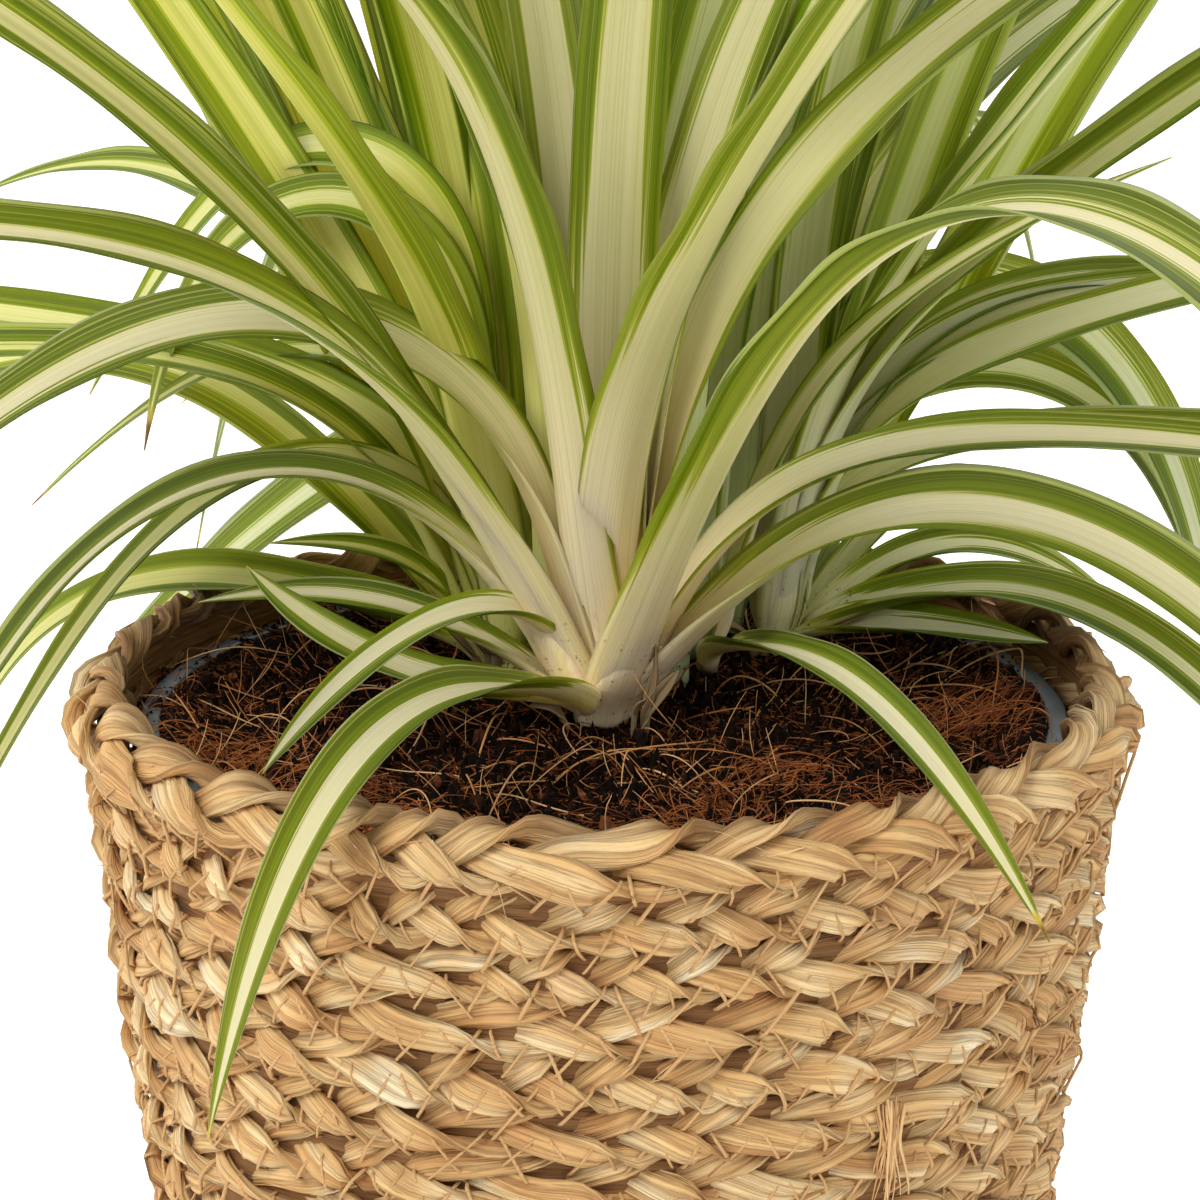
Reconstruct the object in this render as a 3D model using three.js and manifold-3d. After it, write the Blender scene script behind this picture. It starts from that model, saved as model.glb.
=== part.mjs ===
// A spider plant in a nursery pot, standing in a plaited seagrass basket.
// Millimetres, +Z up, origin at the middle of the basket's underside.
import * as THREE from 'three';
import { mergeVertices } from 'three/addons/utils/BufferGeometryUtils.js';
import Module from 'manifold-3d';

const wasm = await Module();
wasm.setup();

// Basket: a coil of plait, wider at the rim than at the foot.
const BASKET_HEIGHT = 148;
const RIM_RADIUS = 85;
const WALL_SLOPE = 0.11;
const FOOT_TUCK = 6;
const ROW_COUNT = 17;
const ROW_PITCH = BASKET_HEIGHT / ROW_COUNT;
const ROW_RELIEF = 2;
const STRANDS_PER_ROW = 30;
const STRAND_RELIEF = 0.45;
const STRAND_LIFT = 1;
const WALL_THICKNESS = 7.6;
const FLOOR_THICKNESS = 7;
const UNDERSIDE_RADIUS = 57;

// Nursery pot: a thin tapered shell with a rolled lip and drain holes.
const GAP = 0.3;
const POT_WALL = 1.2;
const POT_BASE_RADIUS = 52;
const POT_TOP_RADIUS = 72.4;
const POT_LIP_RADIUS = 74.5;
const POT_TOP = 141;
const POT_LIP_DEPTH = 9;
const POT_BOTTOM = FLOOR_THICKNESS + GAP;
const POT_FLOOR = POT_BOTTOM + POT_WALL;
const LIP_BOTTOM = POT_TOP - POT_LIP_DEPTH;
const DRAIN_HOLES = 6;
const DRAIN_RADIUS = 3.2;
const DRAIN_CIRCLE = 38;

// Potting mix: level with the crowns in the middle, lower along the pot.
const SOIL_TOP = 142;
const SOIL_DROP = 2.5;
const SOIL_FLAT_RADIUS = 30;
const SOIL_LUMP = 0.5;

// Root crowns: short stubs that stand in holes in the mix.
const CROWN_BOTTOM = 126;
const CROWN_SHOULDER = 144;
const CROWN_WAIST = 160;
const CROWN_TOP = 178;
const CROWN_FLARE = 1.25;
const ROOT_SHARE = 2 / 3;
const ROOT_HEIGHT = 140;
const ROOT_CLIMB = 4;

// Blades: V-folded, clasping at the foot and almost flat at the tip, and turned a little about their length
// so that their faces look to the light at the front. Folds and turn in degrees, the rest shares.
const BLADE_THICKNESS = 1.1;
const FOOT_FOLD = 62;
const MIDDLE_FOLD = 28;
const TIP_FOLD = 12;
const UNFOLDED_BY = 0.35;
const FOOT_WIDTH = 0.8;
const FULL_WIDTH_BY = 0.3;
const TIP_POWER = 4;
const LIGHT_TURN = 18;
const PATH_STEPS = 120;

const BASKET_SIDES = 2 * STRANDS_PER_ROW;
const POT_SIDES = 40;
const CROWN_SIDES = 12;

const radians = THREE.MathUtils.degToRad;
const { lerp } = THREE.MathUtils;
const clamp01 = (value) => Math.min(1, Math.max(0, value));

// A fan of leaves fills the back by a rule: even headings, and leans that step round by the golden section,
// each with the bend, length and width that go with it.
const REAR_FAN = {
  count: 9,
  headings: [50, 122],
  leans: [4, 58],
  bends: [98, 77],
  lengths: [261, 169],
  widths: [14, 10],
};
const GOLDEN_SECTION = 0.618;
const HALFWAY = 0.5;

function rearFan() {
  const { count, headings, leans, bends, lengths, widths } = REAR_FAN;
  return Array.from({ length: count }, (_, leaf) => {
    const share = (leaf * GOLDEN_SECTION) % 1;
    const [lean, bend, length, width] = [leans, bends, lengths, widths].map((span) => lerp(...span, share));
    return [lerp(...headings, leaf / (count - 1)), lean, bend, HALFWAY, length, width];
  });
}

// Each leaf: compass heading and lean from upright at its foot, the bend it gathers along its length and the
// share of its length where half of that is reached, length, width, and where they matter the sideways sweep
// and how sharply it kinks (3 is a smooth arch). Degrees and millimetres. 0 heads to +X and 90 to +Y.
const CROWNS = {
  crown_front: {
    at: [0, 5],
    radius: 6,
    leaves: [
      [-133, 8, 100, 0.6, 270, 16],
      [72, 1, 58, 0.6, 262, 17],
      [113, 6, 72, 0.6, 268, 15],
      [-68, 4, 46, 0.2, 258, 17, 4],
      [-53, 30, 143, 0.64, 283, 17, -6],
      [-167, 26, 80, 0.38, 256, 16],
      [18, 9, 66, 0.35, 266, 13],
      [-16, 43, 118, 0.36, 226, 13],
      [-7, 26, 75, 0.22, 233, 10],
      [-118, 71, 116, 0.75, 148, 10.5, 6],
      [208, 86, -28, 0.45, 62, 9.5, -72],
      [177, 60, 60, 0.7, 66, 7, -8],
      [-162, 18, 98, 0.27, 80, 7.5, 44],
      [179, 11, 140, 0.36, 230, 15, -6],
      [173, 35, 130, 0.33, 208, 10],
      [-174, 29, 42, 0.48, 266, 14],
      [30, 6, 55, 0.5, 265, 13],
      [160, 5, 60, 0.5, 260, 13],
    ],
  },
  crown_left: {
    at: [-17, 31],
    radius: 6,
    leaves: [
      [168, 78, 135, 0.75, 124, 13, -12],
      [-174, 9, 148, 0.28, 160, 9, -8],
      [158, 10, 81, 0.2, 195, 11, 2],
      [169, 23, 80, 0.25, 210, 10],
      [147, 0, 140, 0.38, 140, 8],
      [155, 2, 150, 0.55, 166, 11, 0, 7],
      [170, 1, 176, 0.6, 148, 10, 2, 6],
      [163, 12, 27, 0.2, 240, 12, -8],
      [-124, 6, 42, 0.23, 250, 16],
      [141, 5, 29, 0.2, 245, 14],
      [111, 12, 33, 0.2, 252, 11, -3],
      [118, 0, 46, 0.3, 252, 15],
      [-160, 25, 70, 0.5, 46, 6],
      [126, 38, 85, 0.5, 204, 11],
      [142, 52, 80, 0.5, 180, 10],
    ],
  },
  crown_right: {
    at: [29, 43],
    radius: 6,
    leaves: [
      [64, 4, 95, 0.4, 243, 14],
      [57, 1, 85, 0.27, 238, 13],
      [-29, 5, 36, 0.2, 240, 16],
      [-13, 6, 50, 0.2, 242, 13],
      [16, 9, 88, 0.2, 138, 9],
      [9, 54, 92, 0.54, 66, 7.5],
      [-25, 69, 84, 0.35, 166, 11],
      [-35, 81, 8, 0.62, 49, 9],
      [38, 52, 113, 0.8, 65, 5.5, 13],
      [14, 11, 115, 0.32, 208, 9],
      [9, 7, 96, 0.24, 220, 9],
      [-4, 6, 73, 0.2, 195, 10],
      [46, 2, 62, 0.5, 250, 13],
    ],
  },
  shoot_front: {
    at: [17, 31],
    radius: 4,
    leaves: [
      [-78, 73, 96, 0.86, 134, 8.5, 21],
      [-10, 12, 60, 0.5, 120, 7],
    ],
  },
  crown_rear: {
    at: [4, 55],
    radius: 6,
    leaves: [
      [120, 14, 94, 0.56, 254, 10],
      [55, 3, 49, 0.33, 246, 9],
      [35, 11, 80, 0.57, 262, 16],
      [44, 16, 208, 0.68, 192, 9, 9],
      [125, 15, 157, 0.43, 228, 14],
      [134, 23, 107, 0.2, 178, 13],
      [24, 27, 162, 0.41, 222, 14],
      [27, 48, 144, 0.43, 220, 11],
      [164, 3, 38, 0.5, 260, 16],
      [128, 0, 30, 0.5, 265, 16],
      [20, 2, 44, 0.5, 262, 17],
      ...rearFan(),
    ],
  },
};

const MATERIALS = {
  seagrass: new THREE.MeshStandardMaterial({ color: 0xc79f66, roughness: 0.75, metalness: 0 }),
  potPlastic: new THREE.MeshStandardMaterial({ color: 0x5a6166, roughness: 0.5, metalness: 0 }),
  coir: new THREE.MeshStandardMaterial({ color: 0x3b2416, roughness: 0.95, metalness: 0 }),
  leaf: new THREE.MeshStandardMaterial({ color: 0x8aa148, roughness: 0.45, metalness: 0 }),
};

function meshGeometry(points, triangles) {
  const geometry = new THREE.BufferGeometry();
  geometry.setAttribute('position', new THREE.Float32BufferAttribute(points.flat(), 3));
  geometry.setIndex(triangles.flat());
  return geometry;
}

function toSolid(geometry) {
  const bare = geometry.clone();
  bare.deleteAttribute('normal');
  bare.deleteAttribute('uv');
  const merged = mergeVertices(bare, 1e-4);
  return new wasm.Manifold(new wasm.Mesh({
    numProp: 3,
    vertProperties: Float32Array.from(merged.attributes.position.array),
    triVerts: Uint32Array.from(merged.index.array),
  }));
}

function fromSolid(solid) {
  const { vertProperties, triVerts } = solid.getMesh();
  const geometry = new THREE.BufferGeometry();
  geometry.setAttribute('position', new THREE.BufferAttribute(vertProperties, 3));
  geometry.setIndex(new THREE.BufferAttribute(triVerts, 1));
  return geometry;
}

// A body of revolution about Z from a profile of [radius, height] that starts and ends on the axis.
function turned(profile, sides, at = [0, 0]) {
  const points = profile.map(([radius, height]) => new THREE.Vector2(radius, height));
  const geometry = new THREE.LatheGeometry(points, sides);
  geometry.rotateX(Math.PI / 2);
  return geometry.translate(at[0], at[1], 0);
}

// A closed skin of rings round Z, each ring a function of the angle, between a bottom and a top pole.
function ringedSkin(rings, sides, bottomHeight, topHeight) {
  const points = [[0, 0, bottomHeight]];
  for (const ring of rings) {
    for (let side = 0; side < sides; side += 1) {
      const angle = (2 * Math.PI * side) / sides;
      const { radius, height } = ring(angle);
      points.push([radius * Math.cos(angle), radius * Math.sin(angle), height]);
    }
  }
  const topPole = points.push([0, 0, topHeight]) - 1;
  const at = (ring, side) => 1 + ring * sides + (side % sides);
  const triangles = [];
  for (let side = 0; side < sides; side += 1) {
    triangles.push([0, at(0, side + 1), at(0, side)]);
    for (let ring = 0; ring + 1 < rings.length; ring += 1) {
      triangles.push([at(ring, side), at(ring, side + 1), at(ring + 1, side + 1)]);
      triangles.push([at(ring, side), at(ring + 1, side + 1), at(ring + 1, side)]);
    }
    triangles.push([at(rings.length - 1, side), at(rings.length - 1, side + 1), topPole]);
  }
  return meshGeometry(points, triangles);
}

function basketRadius(height) {
  const depth = (BASKET_HEIGHT - height) / BASKET_HEIGHT;
  return RIM_RADIUS - WALL_SLOPE * (BASKET_HEIGHT - height) - FOOT_TUCK * depth ** 3;
}

// Each row swells to its middle and dips to its seam, and its strands stand proud in turn along it.
function basket() {
  const even = (radius, height) => () => ({ radius, height });
  const rings = [even(UNDERSIDE_RADIUS / 2, 0), even(UNDERSIDE_RADIUS, 0)];
  for (let row = 0; row < ROW_COUNT; row += 1) {
    const middle = (row + 0.5) * ROW_PITCH;
    const seam = (row + 1) * ROW_PITCH;
    rings.push((angle) => {
      const strand = Math.cos(STRANDS_PER_ROW * angle + row * Math.PI);
      return {
        radius: basketRadius(middle) + STRAND_RELIEF * strand,
        height: middle + STRAND_LIFT * strand,
      };
    });
    if (row + 1 < ROW_COUNT) rings.push(even(basketRadius(seam) - ROW_RELIEF, seam));
  }
  const innerRadius = (height) => basketRadius(height) - WALL_THICKNESS - ROW_RELIEF / 4;
  rings.push((angle) => ({
    radius: RIM_RADIUS - WALL_THICKNESS / 2,
    height: BASKET_HEIGHT + (STRAND_LIFT / 2) * (Math.cos(STRANDS_PER_ROW * angle) - 1),
  }));
  const innerHeights = [BASKET_HEIGHT - ROW_PITCH / 2, 100, 50, FLOOR_THICKNESS + 4];
  for (const height of innerHeights) rings.push(even(innerRadius(height), height));
  rings.push(even(innerRadius(FLOOR_THICKNESS) - 3, FLOOR_THICKNESS));
  rings.push(even(UNDERSIDE_RADIUS / 2, FLOOR_THICKNESS));
  return ringedSkin(rings, BASKET_SIDES, 0, FLOOR_THICKNESS);
}

function nurseryPot() {
  let pot = toSolid(turned([
    [0, POT_BOTTOM],
    [POT_BASE_RADIUS, POT_BOTTOM],
    [POT_TOP_RADIUS, LIP_BOTTOM],
    [POT_LIP_RADIUS, LIP_BOTTOM + 1],
    [POT_LIP_RADIUS, POT_TOP - 0.6],
    [POT_LIP_RADIUS - 0.6, POT_TOP],
    [POT_TOP_RADIUS - POT_WALL / 2, POT_TOP],
    [POT_TOP_RADIUS - POT_WALL, POT_TOP - 1],
    [POT_TOP_RADIUS - POT_WALL, LIP_BOTTOM],
    [POT_BASE_RADIUS - POT_WALL, POT_FLOOR],
    [0, POT_FLOOR],
  ], POT_SIDES));
  for (let hole = 0; hole < DRAIN_HOLES; hole += 1) {
    const angle = (2 * Math.PI * hole) / DRAIN_HOLES;
    const at = [DRAIN_CIRCLE * Math.cos(angle), DRAIN_CIRCLE * Math.sin(angle)];
    pot = pot.subtract(toSolid(turned([
      [0, POT_BOTTOM - 1],
      [DRAIN_RADIUS, POT_BOTTOM - 1],
      [DRAIN_RADIUS, POT_FLOOR + 1],
      [0, POT_FLOOR + 1],
    ], CROWN_SIDES, at)));
  }
  return fromSolid(pot);
}

function potInside(height) {
  const climb = clamp01((height - POT_FLOOR) / (LIP_BOTTOM - POT_FLOOR));
  return lerp(POT_BASE_RADIUS, POT_TOP_RADIUS, climb) - POT_WALL;
}

// The mix lies level round the crowns, falls towards the pot and is a little lumpy.
function soilHeight(radius, angle) {
  const fall = clamp01((radius - SOIL_FLAT_RADIUS) / (POT_TOP_RADIUS - SOIL_FLAT_RADIUS));
  const lumps = Math.sin(radius / 5 + 2 * Math.cos(2 * angle)) * Math.sin(3 * angle);
  return SOIL_TOP - SOIL_LUMP - SOIL_DROP * fall ** 2 + SOIL_LUMP * lumps * clamp01(radius / 20);
}

function soil() {
  const bottom = POT_FLOOR + GAP;
  const edge = SOIL_TOP - SOIL_DROP - 2 * SOIL_LUMP;
  const clearance = 1.5 * GAP;
  const sideRadius = (height) => potInside(height) - clearance;
  const rings = [bottom, LIP_BOTTOM].map((height) => () => ({
    radius: sideRadius(height),
    height,
  }));
  for (const share of [1, 0.84, 0.68, 0.52, 0.36, 0.18]) {
    const radius = share * sideRadius(edge);
    rings.push((angle) => ({ radius, height: soilHeight(radius, angle) }));
  }
  let mix = toSolid(ringedSkin(rings, POT_SIDES, bottom, soilHeight(0, 0)));
  for (const { at, radius } of Object.values(CROWNS)) {
    mix = mix.subtract(toSolid(turned([
      [0, CROWN_BOTTOM - GAP],
      [radius + GAP, CROWN_BOTTOM - GAP],
      [radius + GAP, CROWN_TOP],
      [0, CROWN_TOP],
    ], CROWN_SIDES, at)));
  }
  return fromSolid(mix);
}

// One blade: rings of left edge, top of the midrib, right edge and keel, carried along the leaf's path, which
// is the sum of short steps in the direction of its lean and heading. Both faces are split alike.
function blade(at, rootRing, [heading, lean, bend, turn, length, width, sweep = 0, sharpness = 3]) {
  const segments = Math.round(4 + length / 70 + Math.abs(bend) / 35);
  const bendShare = (t) => t ** sharpness / (t ** sharpness + turn ** sharpness);
  const position = new THREE.Vector3(
    at[0] + rootRing * Math.cos(radians(heading)),
    at[1] + rootRing * Math.sin(radians(heading)),
    ROOT_HEIGHT + (ROOT_CLIMB * lean) / 90,
  );
  const points = [];
  for (let step = 0; step < PATH_STEPS; step += 1) {
    const t = step / PATH_STEPS;
    const tilt = radians(lean + bend * bendShare(t));
    const compass = radians(heading + sweep * t);
    const outward = new THREE.Vector3(Math.cos(compass), Math.sin(compass), 0);
    if (step % (PATH_STEPS / segments) < 1) {
      const direction = outward.clone().multiplyScalar(Math.sin(tilt)).setZ(Math.cos(tilt));
      const roll = radians(LIGHT_TURN) * Math.cos(compass) * clamp01(t / UNFOLDED_BY);
      const side = new THREE.Vector3(-outward.y, outward.x, 0).applyAxisAngle(direction, roll);
      const upper = new THREE.Vector3().crossVectors(direction, side);
      const half = (width / 2) * (1 - t ** TIP_POWER) * lerp(FOOT_WIDTH, 1, clamp01(t / FULL_WIDTH_BY));
      const fold = radians(t < UNFOLDED_BY
        ? lerp(FOOT_FOLD, MIDDLE_FOLD, t / UNFOLDED_BY)
        : lerp(MIDDLE_FOLD, TIP_FOLD, (t - UNFOLDED_BY) / (1 - UNFOLDED_BY)));
      const ring = [
        [-half * Math.cos(fold), half * Math.sin(fold)],
        [0, BLADE_THICKNESS / 2],
        [half * Math.cos(fold), half * Math.sin(fold)],
        [0, -BLADE_THICKNESS / 2],
      ];
      for (const [across, up] of ring) {
        points.push(position.clone().addScaledVector(side, across).addScaledVector(upper, up).toArray());
      }
    }
    const direction = outward.multiplyScalar(Math.sin(tilt)).setZ(Math.cos(tilt));
    position.addScaledVector(direction, length / PATH_STEPS);
  }
  const tip = points.push(position.toArray()) - 1;
  const triangles = [[0, 1, 3], [1, 2, 3]];
  const ringCount = (points.length - 1) / 4;
  for (let ring = 0; ring < ringCount; ring += 1) {
    for (const edge of [0, 2]) {
      for (const rib of [1, 3]) {
        const [a, b] = [4 * ring + edge, 4 * ring + rib];
        const strip = ring + 1 < ringCount ? [[a, b, b + 4], [a, b + 4, a + 4]] : [[a, b, tip]];
        const facesOut = (edge === 0) !== (rib === 1);
        for (const [p, q, r] of strip) triangles.push(facesOut ? [p, q, r] : [q, p, r]);
      }
    }
  }
  return meshGeometry(points, triangles);
}

function crown({ at, radius, leaves }) {
  let plant = toSolid(turned([
    [0, CROWN_BOTTOM],
    [radius * 0.7, CROWN_BOTTOM],
    [radius, CROWN_BOTTOM + 5],
    [radius, CROWN_SHOULDER],
    [radius * CROWN_FLARE, CROWN_WAIST],
    [radius / 2, CROWN_TOP],
    [0, CROWN_TOP],
  ], CROWN_SIDES, at));
  for (const leaf of leaves) plant = plant.add(toSolid(blade(at, ROOT_SHARE * radius, leaf)));
  // Clasping feet can close off small pockets between them: only the outer skin is kept, so these are filled.
  const skins = plant.decompose().sort((a, b) => b.volume() - a.volume());
  return fromSolid(skins[0]);
}

function piece(name, geometry, material) {
  const mesh = new THREE.Mesh(geometry, material);
  mesh.name = name;
  return mesh;
}

const plantInBasket = new THREE.Group();
plantInBasket.add(piece('basket', basket(), MATERIALS.seagrass));
plantInBasket.add(piece('nursery_pot', nurseryPot(), MATERIALS.potPlastic));
plantInBasket.add(piece('soil', soil(), MATERIALS.coir));
for (const [name, description] of Object.entries(CROWNS)) {
  plantInBasket.add(piece(name, crown(description), MATERIALS.leaf));
}

export default plantInBasket;
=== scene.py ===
import math

import bpy
import numpy as np
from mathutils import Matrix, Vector
from numpy import arange, clip, concatenate, cos, exp, linspace, maximum, minimum, sin, stack


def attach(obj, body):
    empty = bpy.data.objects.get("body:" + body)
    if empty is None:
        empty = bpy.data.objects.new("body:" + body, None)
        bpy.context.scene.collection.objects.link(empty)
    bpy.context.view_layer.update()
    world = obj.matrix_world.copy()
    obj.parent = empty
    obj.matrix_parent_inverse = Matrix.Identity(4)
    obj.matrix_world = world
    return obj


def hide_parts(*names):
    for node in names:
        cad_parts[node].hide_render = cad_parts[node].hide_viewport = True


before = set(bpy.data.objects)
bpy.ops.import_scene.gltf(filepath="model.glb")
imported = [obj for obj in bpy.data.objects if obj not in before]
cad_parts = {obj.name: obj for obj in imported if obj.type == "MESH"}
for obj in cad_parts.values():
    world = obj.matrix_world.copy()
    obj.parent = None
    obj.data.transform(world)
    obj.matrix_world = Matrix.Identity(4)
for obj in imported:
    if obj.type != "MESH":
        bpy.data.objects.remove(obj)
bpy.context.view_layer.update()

# A spider plant in a nursery pot, standing in a plaited seagrass basket.
# Lengths are millimetres until a mesh is made, +Z is up, and the basket stands on z = 0.

MM = 0.001
TURN = 2 * math.pi

# View: fitted to the photograph
VIEW_DISTANCE = 900
VIEW_ELEVATION = math.radians(18)
VIEW_X = -0.6
FOCAL_LENGTH = 168.24
AIM_OVER_RIM = 15.5
FLOOR_REACH = 9000

# Basket
BASKET_HEIGHT = 148
VIEW_CENTRE = BASKET_HEIGHT - 3.5
RIM_RADIUS = 85
WALL_SLOPE = 0.11
FOOT_TUCK = 6
ROW_COUNT = 17
ROW_PITCH = BASKET_HEIGHT / ROW_COUNT
FLOOR_THICKNESS = 7
ROWS_PER_PIECE = 5

# Plait: three flat strands that weave a flattened figure of eight, rolled so that the lower edge stands proud
PLAIT_REPEAT = 48
PLAIT_DEPTH_IN_WALL = 3.5
PLAIT_REACH = 3.2
PLAIT_LIFT = 1.35
PLAIT_ROLL = math.radians(16)
FOLD_SHARPNESS = 1.6
STRAND_HALF_WIDTH = 2.9
STRAND_HALF_THICKNESS = 0.9
STRIPS_ROUND_STRAND = 6
POINTS_PER_STRIP = 3
STEPS_PER_REPEAT = 26
RIM_REPEAT = 46
RIM_SCALE = 1.12
RIM_MIDDLE = BASKET_HEIGHT - 3.1
RIM_ROLL = math.radians(44)
CORE_HALF_HEIGHT = 4.2
CORE_HALF_DEPTH = 1.1
CORE_INSET = 0.6
FLOOR_CLEARANCE = 0.1

# Twine that sews each row to the next
STITCH_PITCH = 8.4
STITCH_HEIGHT = 7.4
TWINE_RADIUS = 0.28
LOOSE_END_COMPASS = math.radians(-56.5)
LOOSE_END_TOP = 99

# Nursery pot
POT_WALL = 1.2
POT_BASE_RADIUS = 52
POT_TOP_RADIUS = 72.4
POT_LIP_RADIUS = 74.5
POT_MOUTH = POT_TOP_RADIUS - POT_WALL
POT_TOP = 141
POT_LIP_DEPTH = 9
POT_BOTTOM = FLOOR_THICKNESS + 0.3
DRAIN_HOLES = 6
DRAIN_RADIUS = 3.2
DRAIN_CIRCLE = 38

# Potting mix
SOIL_TOP = 142
SOIL_DROP = 2.5
SOIL_FLAT_RADIUS = 30
SOIL_LUMP = 0.5
SOIL_ROUGHNESS = 0.24
SPILL_RISE = 3.4
SPILL_REACH = 7.2
# Where the pot's lip shows bare, and where fibres lie in tufts: compass heading and half width in degrees;
# place in millimetres, heading in degrees and spread in millimetres.
BARE_LIP = [(4, 15), (200, 4)]
TUFTS = [
    (-6, -60, 8, 9), (8, -52, -30, 8), (28, -22, 35, 9),
    (45, -40, 160, 9), (-44, -30, 20, 9), (-58, -12, 70, 8),
    (60, 8, 40, 8), (18, -38, 100, 7), (-30, -46, -20, 7),
]

# Leaves: folds and turns in degrees, heights, reaches and depths in millimetres, the rest shares
ROOT_HEIGHT = 140
ROOT_CLIMB = 4
ROOT_SHARE = 2 / 3
FOOT_FOLD = 48
MIDDLE_FOLD = 28
TIP_FOLD = 12
UNFOLDED_BY = 0.35
FOOT_WIDTH = 0.86
FULL_WIDTH_BY = 0.3
TIP_POWER = 4
LIGHT_TURN = 30
NEST_INNER = 0.6
NEST_OUTER = 1.25
NEST_REACH = 22
CLASP_FOLD = 80
CLASP_REACH = 24
FOOT_FLARE = 0.24
DRAWN_IN = 0.42
DRAWN_IN_BELOW = 149
CORE_LEAN = 45
CORE_BULK = 26
CORE_REACH = 28
CORE_VOXEL = 0.55
BACK_FROM = 50
DRY_SCALE_COUNT = 9
FOOT_DIVE = 2.2
STEEP_FOOT_DIVE = 3.6
BLADE_HALF_THICKNESS = 0.22
BLADE_COLUMNS = 15
BLADE_SWAY = math.radians(7)
RIPPLE = 0.05
AWAY_FROM_CAMERA = np.array([0, 0.95, -0.31])
# Colours: how far up the pale foot reaches on an upright leaf and how much less on one that leans, the half
# width of the stripe as a share of the leaf's, on its own and at the foot, and the tilt in degrees from which
# and over which the greens change to those of an arching leaf.
PALE_REACH = 88
PALE_REACH_LOST = 72
GREEN_BY = 160
STRIPE_WIDTHS = (0.2, 0.38)
FOOT_STRIPE = 1.15
# The greens of upright leaves are partly painted backlight.
ARCHED_FROM = 46
ARCHED_OVER = 38
# Painted cool shade: a bluer tint for the crowns behind the front one.
COOL_SHADE_TINT = (0.9, 1.1, 1.12, 1)
# Yellow-green tint for the left crown and left hearts: partly their own colour, partly painted light from the
# left.
LIME_AND_LIGHT_TINT = (1.24, 1.22, 0.6, 1)
VEIN_TINT = (0.62, 0.68, 0.42, 1)

# Behind, a fan of leaves fills the back by a rule: even headings, and leans that step round by the golden
# section, each with the bend, length and width that go with it.
FAN_COUNT = 9
FAN_HEADINGS = (50, 122)
FAN_SPANS = ((4, 58), (98, 77), (261, 169), (14, 10))
GOLDEN_SECTION = 0.618


def rear_fan():
    first, last = FAN_HEADINGS
    for leaf in range(FAN_COUNT):
        share = leaf * GOLDEN_SECTION % 1
        lean, bend, length, width = (low + (high - low) * share for low, high in FAN_SPANS)
        yield first + (last - first) * leaf / (FAN_COUNT - 1), lean, bend, 0.5, length, width


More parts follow.
